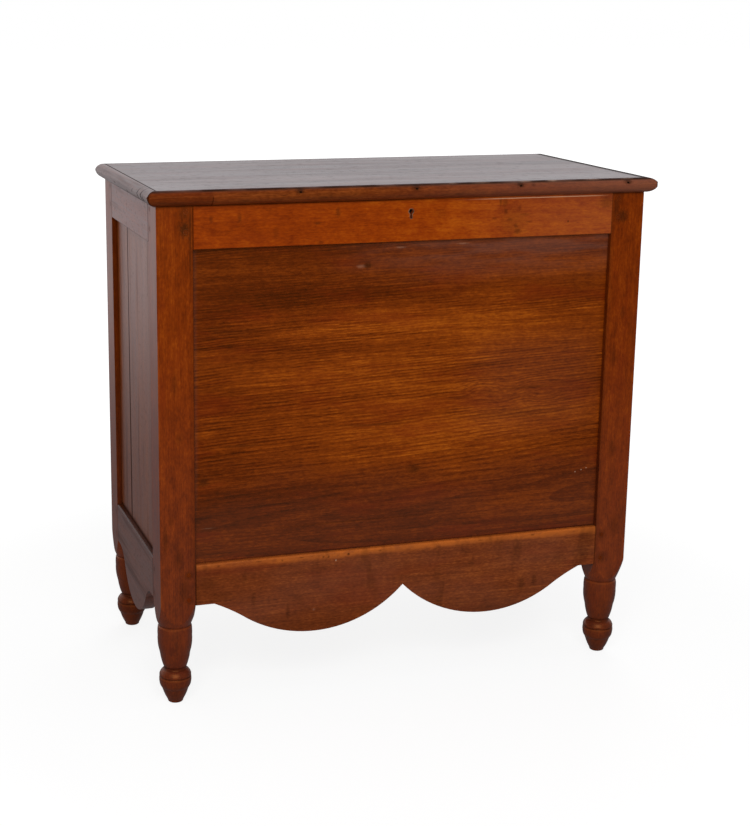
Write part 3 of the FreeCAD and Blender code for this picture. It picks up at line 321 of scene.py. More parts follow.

# %% [markdown]
# ## One recipe for every wood
# All the woods here share one recipe: tones from dark to light, year rings, fibres, the small
# clouds that cherry is known for, broad bands, and ruddy places. Each piece could have a material
# from scratch, but then no two would look cut from the same tree. What sets them apart is their
# tones and their marks. A stain darkens the wood under its wax, wear brightens an edge that hands
# touch, bloom is the grey haze of old wax, chips show raw wood, and grime is a matt crust in a
# corner. The same marks also paint light and shade into the colour: stain and grime paint shade
# into recesses and grooves and under overhangs, wear and chips paint highlights on lit edges and
# rings, and bloom paints the sheen of what the wood mirrors. The light mark mostly paints broad
# light and shade across a piece. Faces that look into the chest were never waxed, so they are
# bare, paler and dry.

# %% Wood
# The colours of the marks; several of them also serve as painted shade, highlight and sheen.
STAIN_AND_SHADE = colour(40, 12, 2)
WEAR_AND_HIGHLIGHT = colour(178, 92, 34)
BLOOM_AND_PAINTED_SHEEN = colour(122, 92, 84)
CHIP_AND_HIGHLIGHT = colour(206, 170, 140)
PORE = colour(34, 10, 1)
RUDDY = colour(112, 30, 6)
FRONT_SHEEN = colour(255, 168, 98)
WHITE_SHEEN = colour(255, 255, 255)
BARE = colour(158, 106, 72)
UNWAXED = 0.55
# The tint of each mark, and how much rougher it makes the surface.
FINISHES = (("bloom", BLOOM_AND_PAINTED_SHEEN, 0.08), ("wear", WEAR_AND_HIGHLIGHT, 0.08), ("stain", STAIN_AND_SHADE, 0.08),
            ("chips", CHIP_AND_HIGHLIGHT, 0.08), ("bare", BARE, 0.5))
# The features of each pattern in a metre, along and across the grain, and its noise's detail.
LINE_NOISE = (2.5, 260)
THREAD_NOISE = (12, 420, 1)
FIBRE_NOISE = (14, 800, 2)
FLECK_NOISE = (150, 450, 1)
PORE_NOISE = (60, 1500, 1)
CLOUD_NOISE = (34, 62, 3, 0.6)
BAND_NOISE = (1.5, 16, 2)
RUDDY_NOISE = (6, 26, 3, 0.6)
PORE_DEPTH = 0.45
LINE_HEIGHT = 0.00002
FIBRE_HEIGHT = 0.00001
STAIN_DENT = 0.0001


def wood(name, grain, tones, seed, pith=(0.0, -0.25), tilt=(0.0, 0.02), ring_width=0.007, bend=0.02,
         rings=0.15, lines=0.7, clouds=0.7, bands=0.7, flecks=0.9, ruddy=0.25, roughness=0.34,
         marks=None, specular=0.5, sheen=FRONT_SHEEN, waviness=0.0002):
    """A finished wood. Tones run from the darkest to the lightest."""
    recipe = Recipe(name)
    board = Board(recipe, grain, seed)
    found = marks(board) if marks else {}
    swirl = found.get("swirl", 0.0)
    years = board.years(pith, tilt, ring_width, bend, swirl)
    line = board.lines(*LINE_NOISE, swirl) + board.streaks(*THREAD_NOISE) * 0.6
    fibre = board.streaks(*FIBRE_NOISE)
    fleck = board.streaks(*FLECK_NOISE)
    pores = recipe.step(board.streaks(*PORE_NOISE), 0.15, 0.24)
    cloud = board.streaks(*CLOUD_NOISE)
    wide_band = board.streaks(*BAND_NOISE)
    # The light mark mostly paints broad light and shade: a piece lighter or darker as light falls.
    tone = (0.5 + (line * lines - years * rings) * found.get("figure", 1.0) + fibre * 0.35
            + fleck * flecks + cloud * clouds + wide_band * bands + found.get("light", 0.0))
    stops = [(index / (len(tones) - 1), tuned[:3]) for index, tuned in enumerate(tones)]
    base = recipe.node("ShaderNodeValToRGB", {"stops": stops}, {0: tone})
    base = recipe.mix(recipe.step(board.streaks(*RUDDY_NOISE), -0.02, 0.2) * ruddy, base, RUDDY)
    base = recipe.mix(pores * PORE_DEPTH, base, PORE)
    rough = roughness + line * 0.1 + wide_band * 0.1
    height = (line * LINE_HEIGHT + fibre * FIBRE_HEIGHT - pores * FIBRE_HEIGHT
              + wide_band * waviness)
    for kind, tint, rougher in FINISHES:
        if kind in found:
            base = recipe.mix(found[kind], base, tint)
            rough = rough + found[kind] * rougher
    if "stain" in found:
        height = height - found["stain"] * STAIN_DENT
    return recipe.finish(grime=found.get("grime"), Base_Color=base, Roughness=rough,
                         Normal=recipe.bump(height), Specular_IOR_Level=specular,
                         Specular_Tint=sheen)


def dress(material, slot, *names):
    """Give a finish to pieces of the frame, and print the slot that it stands for."""
    for name in names:
        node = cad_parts[name]
        node.data.materials.clear()
        node.data.materials.append(material)
    print(f"{material.name}: {len(names)} pieces, slot {slot}")


def highest(board, *values):
    """The strongest of several marks."""
    total = values[0]
    for value in values[1:]:
        total = board.recipe.maths("MAXIMUM", total, value)
    return total


print("marks:", [kind for kind, _, _ in FINISHES] + ["grime"])

# %% [markdown]
# ## The posts
# The warmest wood of the chest: old cherry under many coats of wax, with its grain up the post.
# The four posts mirror each other, so one finish serves them all: the distance from the
# outer arris is the same in every post. Grime darkens the lines where the rails join. Painted
# shade darkens the reveals in the recess beside the panels, the top under the lid, and the
# grooves of the turned feet, where grime sits too. Painted highlights brighten the worn outer
# arrises and a ring below two grooves. Towards the floor, painted shade darkens the post and
# painted sheen greys it. Stains surround the pegs. These marks could be painted on a picture,
# but worked out from the post's own measures they follow its real edges and stay sharp from
# near by.

# %% Posts
POST_TONES = [colour(84, 24, 0), colour(121, 44, 2), colour(152, 68, 6)]
posts = [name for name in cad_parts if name.startswith("post_")]
post_low, post_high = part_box("post_front_right")
post_half = (post_high.x - post_low.x) / 2
post_middle = (post_low + post_high) / 2
case_middle_y = (post_low.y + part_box("post_rear_right")[1].y) / 2
case_top = post_high.z
shoulder = post_low.x
skirt_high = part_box("skirt_front")[1]
PEG_DEPTH = 0.018
PEG_STAINS = [(0.8405, 0.3), (0.8085, 0.35), (0.234, 0.35), (0.190, 0.45)]
POST_SPOTS = [
    (-0.3829, 0.8125, 0.011, 0.015, 0.85), (0.3885, 0.8095, 0.013, 0.014, 0.7),
    (-0.3740, 0.8120, 0.004, 0.040, 0.6), (-0.383, 0.838, 0.010, 0.014, 0.5),
    (-0.3735, 0.7700, 0.003, 0.050, 0.5), (0.3765, 0.826, 0.008, 0.034, 0.5),
    (-0.420, 0.300, 0.005, 0.030, 0.35), (-0.398, 0.265, 0.008, 0.020, 0.3),
    (0.405, 0.250, 0.010, 0.025, 0.3), (0.385, 0.560, 0.006, 0.020, 0.25),
    (-0.402, 0.560, 0.006, 0.020, 0.3), (-0.395, 0.470, 0.007, 0.012, 0.3),
    (0.400, 0.640, 0.006, 0.014, 0.3), (0.392, 0.395, 0.008, 0.018, 0.3),
    (-0.388, 0.205, 0.012, 0.030, 0.35), (-0.410, 0.330, 0.005, 0.010, 0.3),
]
# Grime and painted shade in the grooves of the feet, and painted highlights below two of them.
GROOVE_GRIME_AND_SHADE = [(0.1406, 0.0006, 0.3), (0.0632, 0.003, 0.4), (0.0474, 0.0005, 0.4),
           (0.026, 0.0006, 0.15)]
GROOVE_HIGHLIGHTS = [(0.1376, 0.0006, 0.12), (0.0448, 0.0005, 0.15)]


def post_marks(board):
    r = board.recipe
    from_arris = r.maths("MINIMUM", abs(board.x) - post_middle.x,
                         abs(board.y - case_middle_y) - (case_middle_y - post_middle.y))
    is_square = r.step(board.z, 0.165, 0.185)
    # Dark joint lines where the rails meet, and painted shade on the reveals in the recess.
    joint_and_reveal_shade = board.edge(-from_arris, post_half, 0.0020) * is_square
    # Painted shade under the lid's overhang.
    shade_under_lid = board.edge(board.z, case_top, 0.004) * 0.4
    round_pegs = [(-PEG_DEPTH, height, 0.011, 0.012, depth) for height, depth in PEG_STAINS]
    stains = board.spots(from_arris, board.z, round_pegs)
    marks = board.spots(board.x, board.z, POST_SPOTS)
    # Grime and painted shade in the grooves, and painted highlights just below them.
    groove_grime_and_shade = board.rings(GROOVE_GRIME_AND_SHADE)
    groove_highlights = board.rings(GROOVE_HIGHLIGHTS)
    # Painted shade towards the inner faces, beside the recessed panels.
    inner = r.step(-from_arris, post_half - 0.010, post_half) * 0.25 * is_square
    # Darker towards the floor, and matt in patches there.
    feet = r.step(board.z, 0.02, 0.19, 0.2, 0.0)
    patchy = r.step(board.streaks(9, 30), -0.25, 0.1, 0.6, 1.0)
    low_patches = r.step(board.z, 0.09, 0.20, 0.08, 0.0) * patchy
    # Worn outer arrises, with a painted highlight on them.
    worn_and_lit = board.edge(from_arris, post_half, 0.003) * r.step(board.streaks(5, 20), -0.05, 0.15)
    return {"grime": highest(board, joint_and_reveal_shade * 0.30, shade_under_lid, low_patches, groove_grime_and_shade * (1 - is_square)),
            "stain": highest(board, stains, marks, inner, feet),
            "wear": highest(board, worn_and_lit * is_square * 0.35, groove_highlights * (1 - is_square)),
            # Painted sheen grows towards the floor, and painted shade darkens the lower post.
            "bloom": r.step(board.z, 0.05, 0.7, 0.10, 0.0),
            "light": r.step(board.z, 0.1, 0.6, -0.24, -0.03)}


post_wood = wood("cherry_posts", "z", POST_TONES, 3, pith=(0.0, 0.6), rings=0.06, lines=0.5,
                 clouds=0.9, bands=0.5, flecks=0.7, marks=post_marks)
dress(post_wood, "frame_wood", *posts)
print("case top at", round(case_top, 4))

# %% [markdown]
# ## The front rail
# Its grain runs along it, and it is the brightest piece: light from above reaches it first. It
# has a reddish cloud right of the keyhole, small knots, and a pale scuff under the moulding,
# where its worn top arris also has a painted highlight. Painted shadow darkens its top under the
# left half of the moulding and its lower edge above the panel, and painted light and sheen
# brighten it towards the right. Noise alone would put the knots anywhere, so each is a ragged
# spot at its own place.

# %% Front rail
RAIL_TONES = [colour(108, 32, 1), colour(143, 54, 2), colour(174, 82, 8)]
RAIL_SPOTS = [
    (-0.3396, 0.8271, 0.004, 0.006, 0.35), (-0.2927, 0.8279, 0.004, 0.010, 0.4),
    (-0.1271, 0.8321, 0.005, 0.010, 0.4), (-0.1621, 0.8153, 0.006, 0.003, 0.5),
    (-0.1567, 0.7838, 0.006, 0.003, 0.35), (0.1678, 0.8378, 0.007, 0.010, 0.4),
    (0.1925, 0.7900, 0.009, 0.006, 0.55), (0.2861, 0.8036, 0.002, 0.002, 0.8),
    (0.3583, 0.8356, 0.018, 0.014, 0.4), (0.1836, 0.8086, 0.030, 0.034, 0.22),
    (-0.232, 0.8010, 0.006, 0.012, 0.2), (0.052, 0.8250, 0.014, 0.010, 0.15),
    (0.1600, 0.8400, 0.003, 0.009, 0.5), (0.1700, 0.8240, 0.005, 0.007, 0.5),
    (0.1780, 0.8100, 0.008, 0.005, 0.45), (0.1890, 0.7990, 0.006, 0.006, 0.5),
    (0.2050, 0.8180, 0.012, 0.003, 0.35), (0.1500, 0.8130, 0.006, 0.003, 0.35),
    (0.2120, 0.8060, 0.008, 0.002, 0.35), (0.1950, 0.8290, 0.004, 0.006, 0.35),
]
LIT_SCUFF_HEIGHT = 0.8460
rail_low, rail_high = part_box("rail_front_top")


def rail_marks(board):
    r = board.recipe
    ends = board.edge(abs(board.x), shoulder, 0.0018) * 0.5
    # Painted shade along the lower edge, above the recessed panel.
    foot = board.edge(-board.z, -rail_low.z, 0.0018) * 0.6
    # Painted shadow along the top, under the moulding's overhang, on the left half.
    shade_under_moulding = board.edge(board.z, rail_high.z, 0.0030)
    # A worn top arris under the moulding, with a painted highlight on it.
    lit_scuff = board.band(board.z, LIT_SCUFF_HEIGHT, 0.0005, 0.0006)
    worn_and_lit = lit_scuff * r.step(board.x, 0.02, 0.17) * r.step(board.streaks(9, 9), -0.2, 0.0)
    return {"grime": highest(board, ends, foot, shade_under_moulding * r.step(board.x, -0.05, 0.1, 0.7, 0.0)),
            "stain": board.spots(board.x, board.z, RAIL_SPOTS),
            "wear": worn_and_lit * 0.8, "chips": worn_and_lit * 0.5,
            # Painted light: darker to the left and brighter to the right, greyed there by painted
            # sheen.
            "light": r.step(board.x, -0.35, 0.3, -0.15, 0.18),
            "bloom": r.step(board.x, 0.02, 0.36) * 0.12}


rail_wood = wood("cherry_front_rail", "x", RAIL_TONES, 5, pith=(-0.5, 0.75), rings=0.08, lines=0.4,
                 clouds=1.0, bands=0.5, flecks=0.65, marks=rail_marks)
dress(rail_wood, "frame_wood", "rail_front_top")

# %% [markdown]
# ## The side rails
# Old wax on the sides has bloomed, and they mirror the pale room, so they look grey and mauve
# where the front glows brown. With the front's finish their sheen would turn warm as well, so
# they get a white sheen, and streaks of matt dirt that break it up. Streaks of painted sheen
# add to the grey, and painted shade darkens their lower edge above the recessed panels.

# %% Side rails
SIDE_RAIL_TONES = [colour(92, 32, 4), colour(126, 50, 10), colour(156, 74, 20)]
side_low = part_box("rail_left_top")[0]
side_opening = case_middle_y - post_low.y - 2 * post_half


def side_soil(board):
    """Streaks and specks of dirt in the wax, which dull what the sides mirror."""
    r = board.recipe
    streak = r.step(board.streaks(3, 55, 2, 0.6), 0.02, 0.22) * 0.30
    speck = r.step(board.streaks(120, 200, 2), 0.05, 0.25) * 0.25
    return highest(board, streak, speck)


def side_rail_marks(board):
    r = board.recipe
    ends = board.edge(abs(board.y - case_middle_y), side_opening, 0.002) * 0.75
    # Painted shade along the lower edge, above the recessed panel.
    foot = board.edge(-board.z, -side_low.z, 0.002) * 0.5
    return {"grime": highest(board, ends, foot, side_soil(board)),
            # Streaks of bloom and painted sheen.
            "bloom": r.step(board.streaks(4, 14), -0.2, 0.2) * 0.15}


side_rail_wood = wood("cherry_side_rails", "y", SIDE_RAIL_TONES, 8, pith=(0.0, 0.75), rings=0.12,
                      sheen=WHITE_SHEEN, marks=side_rail_marks)
dress(side_rail_wood, "frame_wood", "rail_left_top", "rail_right_top")

# %% [markdown]
# ## Pegs
# A peg shows its end, which drinks in more oil and dirt than a face does, so it is darker than
# the post round it. Pegs could be drawn on the posts, but as solids of their own their rims
# catch the light, and one dark wood is all that they need.

# %% Pegs
PEG_TONES = [colour(62, 18, 1), colour(92, 31, 3), colour(118, 46, 6)]
peg_wood = wood("peg_ends", "y", PEG_TONES, 11, ring_width=0.002, roughness=0.45)
dress(peg_wood, "frame_wood", "pegs_front", "pegs_back", "pegs_left", "pegs_right")

# %% [markdown]
# ## The front panel
# One wide board with its grain across the chest. Its rings cut the face as fine long lines,
# clearest and brightest in the middle of the panel and nearly gone at the bottom, where the
# wood is browner and painted shade and sheen darken and grey it. A painted reflection greys its
# upper edge, painted shade darkens its rim in the recess, and painted light and shade make it
# darker on the left. Broad masks steer the light and the depth of the lines, and a swirl in the
# pith's distance bends them round a knot, as real rings do.

# %% Front panel
PANEL_TONES = [colour(50, 14, 0), colour(88, 30, 1), colour(128, 54, 5), colour(172, 86, 14)]
panel_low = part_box("panel_front")[0]
opening_low = skirt_high.z
opening_high = rail_low.z
PANEL_SPOTS = [
    (-0.0712, 0.7411, 0.0085, 0.006, 0.7), (0.0192, 0.3841, 0.013, 0.010, 0.5),
    (-0.3525, 0.3901, 0.010, 0.009, 0.5), (-0.3325, 0.6458, 0.010, 0.008, 0.25),
    (-0.285, 0.448, 0.040, 0.0025, 0.4), (-0.06, 0.468, 0.055, 0.0025, 0.4),
    (0.235, 0.515, 0.060, 0.0030, 0.35), (0.10, 0.505, 0.030, 0.004, 0.3),
    (-0.10, 0.300, 0.180, 0.0020, 0.35), (0.16, 0.560, 0.050, 0.0025, 0.3),
    (0.20, 0.470, 0.120, 0.010, 0.18), (-0.30, 0.640, 0.040, 0.006, 0.2),
]
PANEL_CHIPS = [
    (-0.0834, 0.7397, 0.008, 0.0034, 0.13), (-0.0137, 0.7690, 0.010, 0.0018, 0.14),
    (0.0976, 0.7715, 0.012, 0.0018, 0.14), (0.3269, 0.3537, 0.0015, 0.0012, 0.7),
    (0.3386, 0.3565, 0.0015, 0.0010, 0.6), (0.3483, 0.3594, 0.0012, 0.0010, 0.6),
    (-0.345, 0.310, 0.012, 0.0010, 0.08),
]


def panel_marks(board):
    r = board.recipe
    height = board.z + board.streaks(5, 12) * 0.14
    middle = r.step(height, 0.36, 0.46) * r.step(height, 0.62, 0.72, 1.0, 0.0)
    centre = r.step(abs(board.x - 0.03 + board.streaks(2, 9) * 0.5), 0.0, 0.45, 1.0, 0.0)
    # Painted shade round the rim, where the panel sits back from the posts, the rail and the skirt.
    post_side_shade = board.edge(abs(board.x), shoulder, 0.0022)
    shadow_under_rail = board.edge(board.z, opening_high, 0.0018)
    shade_above_skirt = board.edge(-board.z, -opening_low, 0.004)
    # A painted reflection along the upper edge, and fainter haze at the left, bottom and right.
    top_reflection = (board.edge(board.z, opening_high, 0.09) * r.step(board.x, -0.20, 0.15)
                * r.step(board.streaks(9, 60), -0.15, 0.1, 0.4, 1.0))
    left_haze = board.edge(-board.x, shoulder, 0.010)
    low_haze = r.step(height, 0.27, 0.44, 1.0, 0.0)
    inside = r.step(board.y, panel_low.y + 0.003, panel_low.y + 0.006) * UNWAXED
    right_haze = board.band(board.x, 0.24, 0.05, 0.12) * board.band(board.z, 0.52, 0.04, 0.08)
    knot = (board.band(board.x, 0.19, 0.05, 0.07) * board.band(board.z, 0.508, 0.012, 0.03)
            * board.streaks(10, 18, 1))
    return {"figure": 0.75 + middle * 0.5, "swirl": knot * 0.045,
            # The middle is brighter; painted shade darkens the bottom and the left.
            "light": (middle * (0.10 + centre * 0.20) - low_haze * 0.08
                      + r.step(board.x, -0.35, 0.2, -0.14, -0.02)),
            "grime": highest(board, post_side_shade * 0.5, shadow_under_rail * 0.3, shade_above_skirt * 0.4),
            "stain": board.spots(board.x, board.z, PANEL_SPOTS),
            "chips": board.spots(board.x, board.z, PANEL_CHIPS),
            "bare": inside,
            "bloom": highest(board, top_reflection * 0.26, left_haze * 0.12, low_haze * 0.07,
                             right_haze * 0.05)}


panel_wood = wood("cherry_front_panel", "x", PANEL_TONES, 17, pith=(-0.36, 0.30),
                  tilt=(-0.02, -0.05), ring_width=0.0042, bend=0.024, rings=0.22, lines=0.52,
                  clouds=0.3, bands=0.6, flecks=0.44, ruddy=0.35, marks=panel_marks)
dress(panel_wood, "panel_wood", "panel_front")
print("the front opening runs from", round(opening_low, 4), "to", round(opening_high, 4))

# %% [markdown]
# ## The side panels
# Each side has two upright boards with an open seam between them. The seam has filled with
# grime, and is wider towards the floor, where the boards dried most. The gap between the boards
# is real and narrow, and the grime beside it makes it look as wide as it looks on the chest.
# Painted shade darkens the boards round their edges in the recess and towards the floor.

# %% Side panels
SIDE_TONES = [colour(104, 44, 6), colour(138, 66, 14), colour(168, 90, 28)]
side_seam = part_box("panel_left_rear_board")[0].y
panel_outside = -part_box("panel_left_rear_board")[0].x


def side_panel_marks(board):
    r = board.recipe
    # Painted shade round the edges in the recess: beside the posts, above the skirt, under the
    # rail.
    rim = board.edge(abs(board.y - case_middle_y), side_opening, 0.004)
    low = board.edge(-board.z, -opening_low, 0.010)
    high = board.edge(board.z, side_low.z, 0.003)
    seam_width = r.step(board.z, 0.3, 0.75, 0.007, 0.003)
    seam = r.step(abs(board.y - side_seam), 0.001, 0.001 + seam_width, 1.0, 0.0)
    return {"grime": highest(board, rim * 0.6, low * 0.8, high * 0.5, seam * 0.8,
                             side_soil(board)),
            "bloom": r.step(board.streaks(1.5, 22), -0.15, 0.15) * 0.25,
            "bare": r.step(abs(board.x), panel_outside - 0.006, panel_outside - 0.003,
                           UNWAXED, 0.0),
            # Painted shade: darker towards the floor.
            "light": r.step(board.z, 0.25, 0.75, -0.25, 0.05)}


side_wood = wood("cherry_side_panels", "z", SIDE_TONES, 23, pith=(0.30, 0.1), rings=0.2,
                 sheen=WHITE_SHEEN, marks=side_panel_marks)
dress(side_wood, "panel_wood", "panel_left_front_board", "panel_left_rear_board",
      "panel_right_front_board", "panel_right_rear_board")

# %% [markdown]
# ## The skirts
# They are a redder, darker cherry. Hands, cloths and brooms have worn their upper arris bright,
# with small dark nicks in it, and a painted highlight makes it brighter still where light from
# above catches it. Painted shade darkens the ledge on top, in the recess, and the boards have
# dark flecks across the grain. An even bright band looks painted, so two sizes of noise break up
# the wear and highlight, and a third makes its lower edge ragged.

# %% Skirts
SKIRT_TONES = [colour(84, 32, 8), colour(113, 49, 17), colour(144, 72, 28)]
SKIRT_SPOTS = [
    (-0.1007, 0.2440, 0.003, 0.0025, 0.8), (-0.1456, 0.2436, 0.0025, 0.0025, 0.6),
    (-0.1364, 0.2428, 0.0025, 0.0025, 0.6), (-0.2188, 0.2446, 0.002, 0.002, 0.5),
    (-0.3300, 0.2450, 0.003, 0.002, 0.5), (-0.0420, 0.2450, 0.004, 0.002, 0.5),
    (-0.1850, 0.2460, 0.005, 0.0015, 0.5), (-0.2600, 0.2465, 0.006, 0.0015, 0.4),
    (0.1450, 0.2455, 0.006, 0.0015, 0.4), (0.2450, 0.2460, 0.004, 0.002, 0.5),
    (-0.2848, 0.2218, 0.005, 0.016, 0.25), (-0.2690, 0.1808, 0.005, 0.016, 0.3),
    (-0.2087, 0.1508, 0.004, 0.018, 0.35), (0.2261, 0.1548, 0.008, 0.016, 0.4),
    (0.2509, 0.1611, 0.006, 0.016, 0.4), (0.060, 0.238, 0.004, 0.002, 0.4),
    (-0.350, 0.215, 0.022, 0.014, 0.3), (0.160, 0.120, 0.030, 0.008, 0.25),
    (-0.366, 0.200, 0.006, 0.040, 0.3), (0.08, 0.205, 0.020, 0.004, 0.2),
    (-0.335, 0.190, 0.030, 0.010, 0.25), (0.300, 0.200, 0.014, 0.020, 0.2),
    (-0.05, 0.170, 0.006, 0.016, 0.2),
]
SKIRT_CHIPS = [(-0.1230, 0.2351, 0.0012, 0.0018, 0.6), (-0.1621, 0.1500, 0.0025, 0.0025, 0.1)]


def skirt_marks(board):
    r = board.recipe
    ends = board.edge(abs(board.x), shoulder, 0.0022) * 0.6
    # The worn upper arris with its painted highlight, broken up by noise.
    touched = (r.step(board.streaks(9, 30), -0.15, 0.12, 0.45, 1.0)
               * r.step(board.streaks(70, 110, 2), -0.25, 0.0, 0.4, 1.0))
    ragged = board.z + board.streaks(30, 60) * 0.010
    arris = board.edge(ragged, skirt_high.z - 0.002, 0.014) * touched
    # Painted shade on the ledge along the top, in the recess.
    rim = board.edge(board.z, skirt_high.z + 0.001, 0.0016)
    low = r.step(board.z, 0.11, 0.16, 0.2, 0.0)
    smudge = r.step(board.streaks(26, 9, 3, 0.6), 0.03, 0.2) * 0.35
    return {"grime": highest(board, ends, rim * 0.3),
            "stain": highest(board, board.spots(board.x, board.z, SKIRT_SPOTS), low, smudge),
            # A painted highlight lightens the top band.
            "wear": arris, "light": r.step(board.z, 0.238, 0.246, 0.0, 0.5),
            "chips": board.spots(board.x, board.z, SKIRT_CHIPS),
            "bloom": r.step(board.streaks(5, 12), -0.15, 0.2, 0.02, 0.1)}


skirt_wood = wood("cherry_front_skirt", "x", SKIRT_TONES, 29, pith=(-0.2, 0.45), rings=0.15,
                  lines=0.7, flecks=1.1, marks=skirt_marks)
dress(skirt_wood, "skirt_wood", "skirt_front")

# %% [markdown]
# ## The side skirts
# Nobody's hands reach them, so they have no worn arris; painted shade darkens the ledge along
# their top, in the recess. They could share the wood of the front skirt, but their grain runs
# from front to back, and they mirror the room.

# %% Side skirts
SIDE_SKIRT_TONES = [colour(72, 28, 6), colour(100, 42, 12), colour(128, 60, 22)]


def side_skirt_marks(board):
    r = board.recipe
    ends = board.edge(abs(board.y - case_middle_y), side_opening, 0.002) * 0.7
    # Painted shade on the ledge along the top, in the recess.
    top = board.edge(board.z, skirt_high.z - 0.001, 0.0030)
    return {"grime": highest(board, ends, top * 0.5, side_soil(board)),
            "bloom": r.step(board.streaks(4, 12), -0.2, 0.2) * 0.2}


side_skirt_wood = wood("cherry_side_skirts", "y", SIDE_SKIRT_TONES, 31, pith=(0.0, 0.3), rings=0.15,
                       sheen=WHITE_SHEEN, marks=side_skirt_marks)
dress(side_skirt_wood, "skirt_wood", "skirt_left", "skirt_right")

# %% [markdown]
# ## The lid
# The lid was rubbed smooth and mirrors the pale room when seen from low down. Most of that grey
# isn't painted into the wood: the wood is dark, the polish is smooth, and the room does the rest,
# while streaks of painted sheen along the grain add a little. A film of dust dulls it in places,
# and a dark line of grime shows where the boards meet the mouldings.

# %% Lid
LID_TONES = [colour(56, 20, 4), colour(78, 31, 9), colour(106, 50, 20)]
lid_low, lid_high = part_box("lid_board_front")
lid_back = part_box("lid_board_rear")[1].y


def lid_marks(board):
    r = board.recipe
    ends = board.edge(abs(board.x), lid_high.x, 0.0024)
    seam = board.band(board.y, lid_high.y, 0.0004, 0.001)
    far_edge = board.edge(board.y, lid_back, 0.012) * 0.6
    right_edge = board.edge(board.x, lid_high.x - 0.003, 0.010) * 0.8
    film = r.step(board.streaks(3, 30, 3, 0.6), -0.08, 0.16) * 0.10
    speck = r.step(board.streaks(80, 60, 3, 0.7), 0.0, 0.2) * 0.14
    dull = r.step(board.y + board.streaks(2, 5) * 0.2, -0.22, 0.1) * 0.08
    dust = film + speck + dull
    return {"grime": highest(board, ends * 0.95, seam * 0.3, far_edge, right_edge, dust),
            # Streaks of bloom and painted sheen along the grain.
            "bloom": r.step(board.streaks(2, 9), -0.15, 0.15) * 0.2,
            "bare": r.step(board.z, lid_low.z, lid_low.z + 0.001, UNWAXED, 0.0)}


lid_wood = wood("cherry_lid", "x", LID_TONES, 37, pith=(0.05, 1.25), ring_width=0.009, rings=0.25,
                roughness=0.30, marks=lid_marks, sheen=WHITE_SHEEN, waviness=0.0006)
dress(lid_wood, "lid_wood", "lid_board_front", "lid_board_rear")
print("lid top at", round(lid_high.z, 4))

# %% [markdown]
# ## The mouldings
# Three strips with a rounded nose follow the front and the ends of the lid. The front one has
# been patched at its left end, where its tone changes, and its upper arris is chipped, with
# painted highlights along it on the right. Painted light and sheen lighten and grey its right
# end. The patch could be a piece of its own, but it is one strip again under the wax, so a
# change of light in the wood and a thin dark line show it.

# %% The front moulding
moulding_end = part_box("lid_moulding_front")[1].x
MOULDING_TONES = [colour(70, 25, 5), colour(98, 40, 9), colour(134, 64, 21)]
NAIL_PLACES = (-0.1958, 0.0029, 0.1889, 0.3884)
NAIL_HEIGHT = 0.8705
PATCH_END = -0.340
MOULDING_SPOTS = [(place, NAIL_HEIGHT, 0.009, 0.0055, 0.75) for place in NAIL_PLACES] + [
    (-0.1569, 0.8585, 0.010, 0.003, 0.4), (-0.1451, 0.8605, 0.004, 0.005, 0.35),
    (0.212, 0.8690, 0.004, 0.003, 0.4), (-0.285, 0.8560, 0.010, 0.004, 0.35),
    (-0.03, 0.8560, 0.006, 0.003, 0.35), (0.02, 0.8570, 0.008, 0.003, 0.3),
    (0.075, 0.8575, 0.008, 0.003, 0.3),
]
# Chips on the upper arris, which also carry its painted highlights on the right.
MOULDING_CHIPS_AND_HIGHLIGHTS = [
    (0.2500, 0.8743, 0.012, 0.0008, 0.5), (0.1200, 0.8743, 0.020, 0.0008, 0.3),
    (0.3250, 0.8743, 0.020, 0.0008, 0.3), (0.0700, 0.8743, 0.010, 0.0008, 0.25),
    (0.2000, 0.8743, 0.014, 0.0008, 0.3), (0.3900, 0.8743, 0.012, 0.0008, 0.3),
]


def moulding_marks(board):
    r = board.recipe
    rim = (board.edge(board.z, lid_high.z - 0.0012, 0.0026)
           * r.step(board.streaks(14, 14), -0.2, 0.1, 0.5, 1.0))
    patch = (board.band(board.x, PATCH_END, 0.0004, 0.0010)
             * r.step(board.z, 0.862, 0.868, 1.0, 0.0))
    mitres = board.edge(abs(board.x) - abs(board.y - lid_low.y), lid_high.x, 0.0025)
    # Painted light and painted sheen on the right end.
    right_end_sheen = r.step(board.x, -0.1, 0.42)
    ends = board.edge(abs(board.x), moulding_end, 0.003)
    lower = r.step(board.z, 0.850, 0.862, 0.25, 0.0)
    # Chips, and painted highlights, along the upper arris.
    chips = board.spots(board.x, board.z, MOULDING_CHIPS_AND_HIGHLIGHTS)
    grime = highest(board, rim * 0.85, patch * 0.6, mitres * 0.8, ends * 0.8)
    patched = r.step(board.x, PATCH_END - 0.001, PATCH_END + 0.001, -0.14, 0.03)
    return {"grime": grime * (1 - chips), "chips": chips,
            "stain": highest(board, board.spots(board.x, board.z, MOULDING_SPOTS), lower),
            "light": patched + right_end_sheen * 0.38, "bloom": right_end_sheen * 0.32}


moulding_wood = wood("cherry_front_moulding", "x", MOULDING_TONES, 41, pith=(0.0, 0.6), rings=0.08,
                     lines=0.4, marks=moulding_marks)
dress(moulding_wood, "moulding_wood", "lid_moulding_front")

# %% [markdown]
# ## The end mouldings
# Their grain runs from front to back. The left one has old splits near the front, which could be
# cut into it, but they are thinner than a hair, so ragged dark spots drawn tall and narrow do.

# %% The end mouldings
CRACKS = [(-0.150, 0.862, 0.0030, 0.014, 0.9), (-0.176, 0.863, 0.0036, 0.014, 0.9),
          (-0.190, 0.860, 0.005, 0.008, 0.7), (-0.060, 0.858, 0.010, 0.003, 0.4),
          (-0.110, 0.866, 0.004, 0.004, 0.5), (0.040, 0.862, 0.012, 0.002, 0.4)]


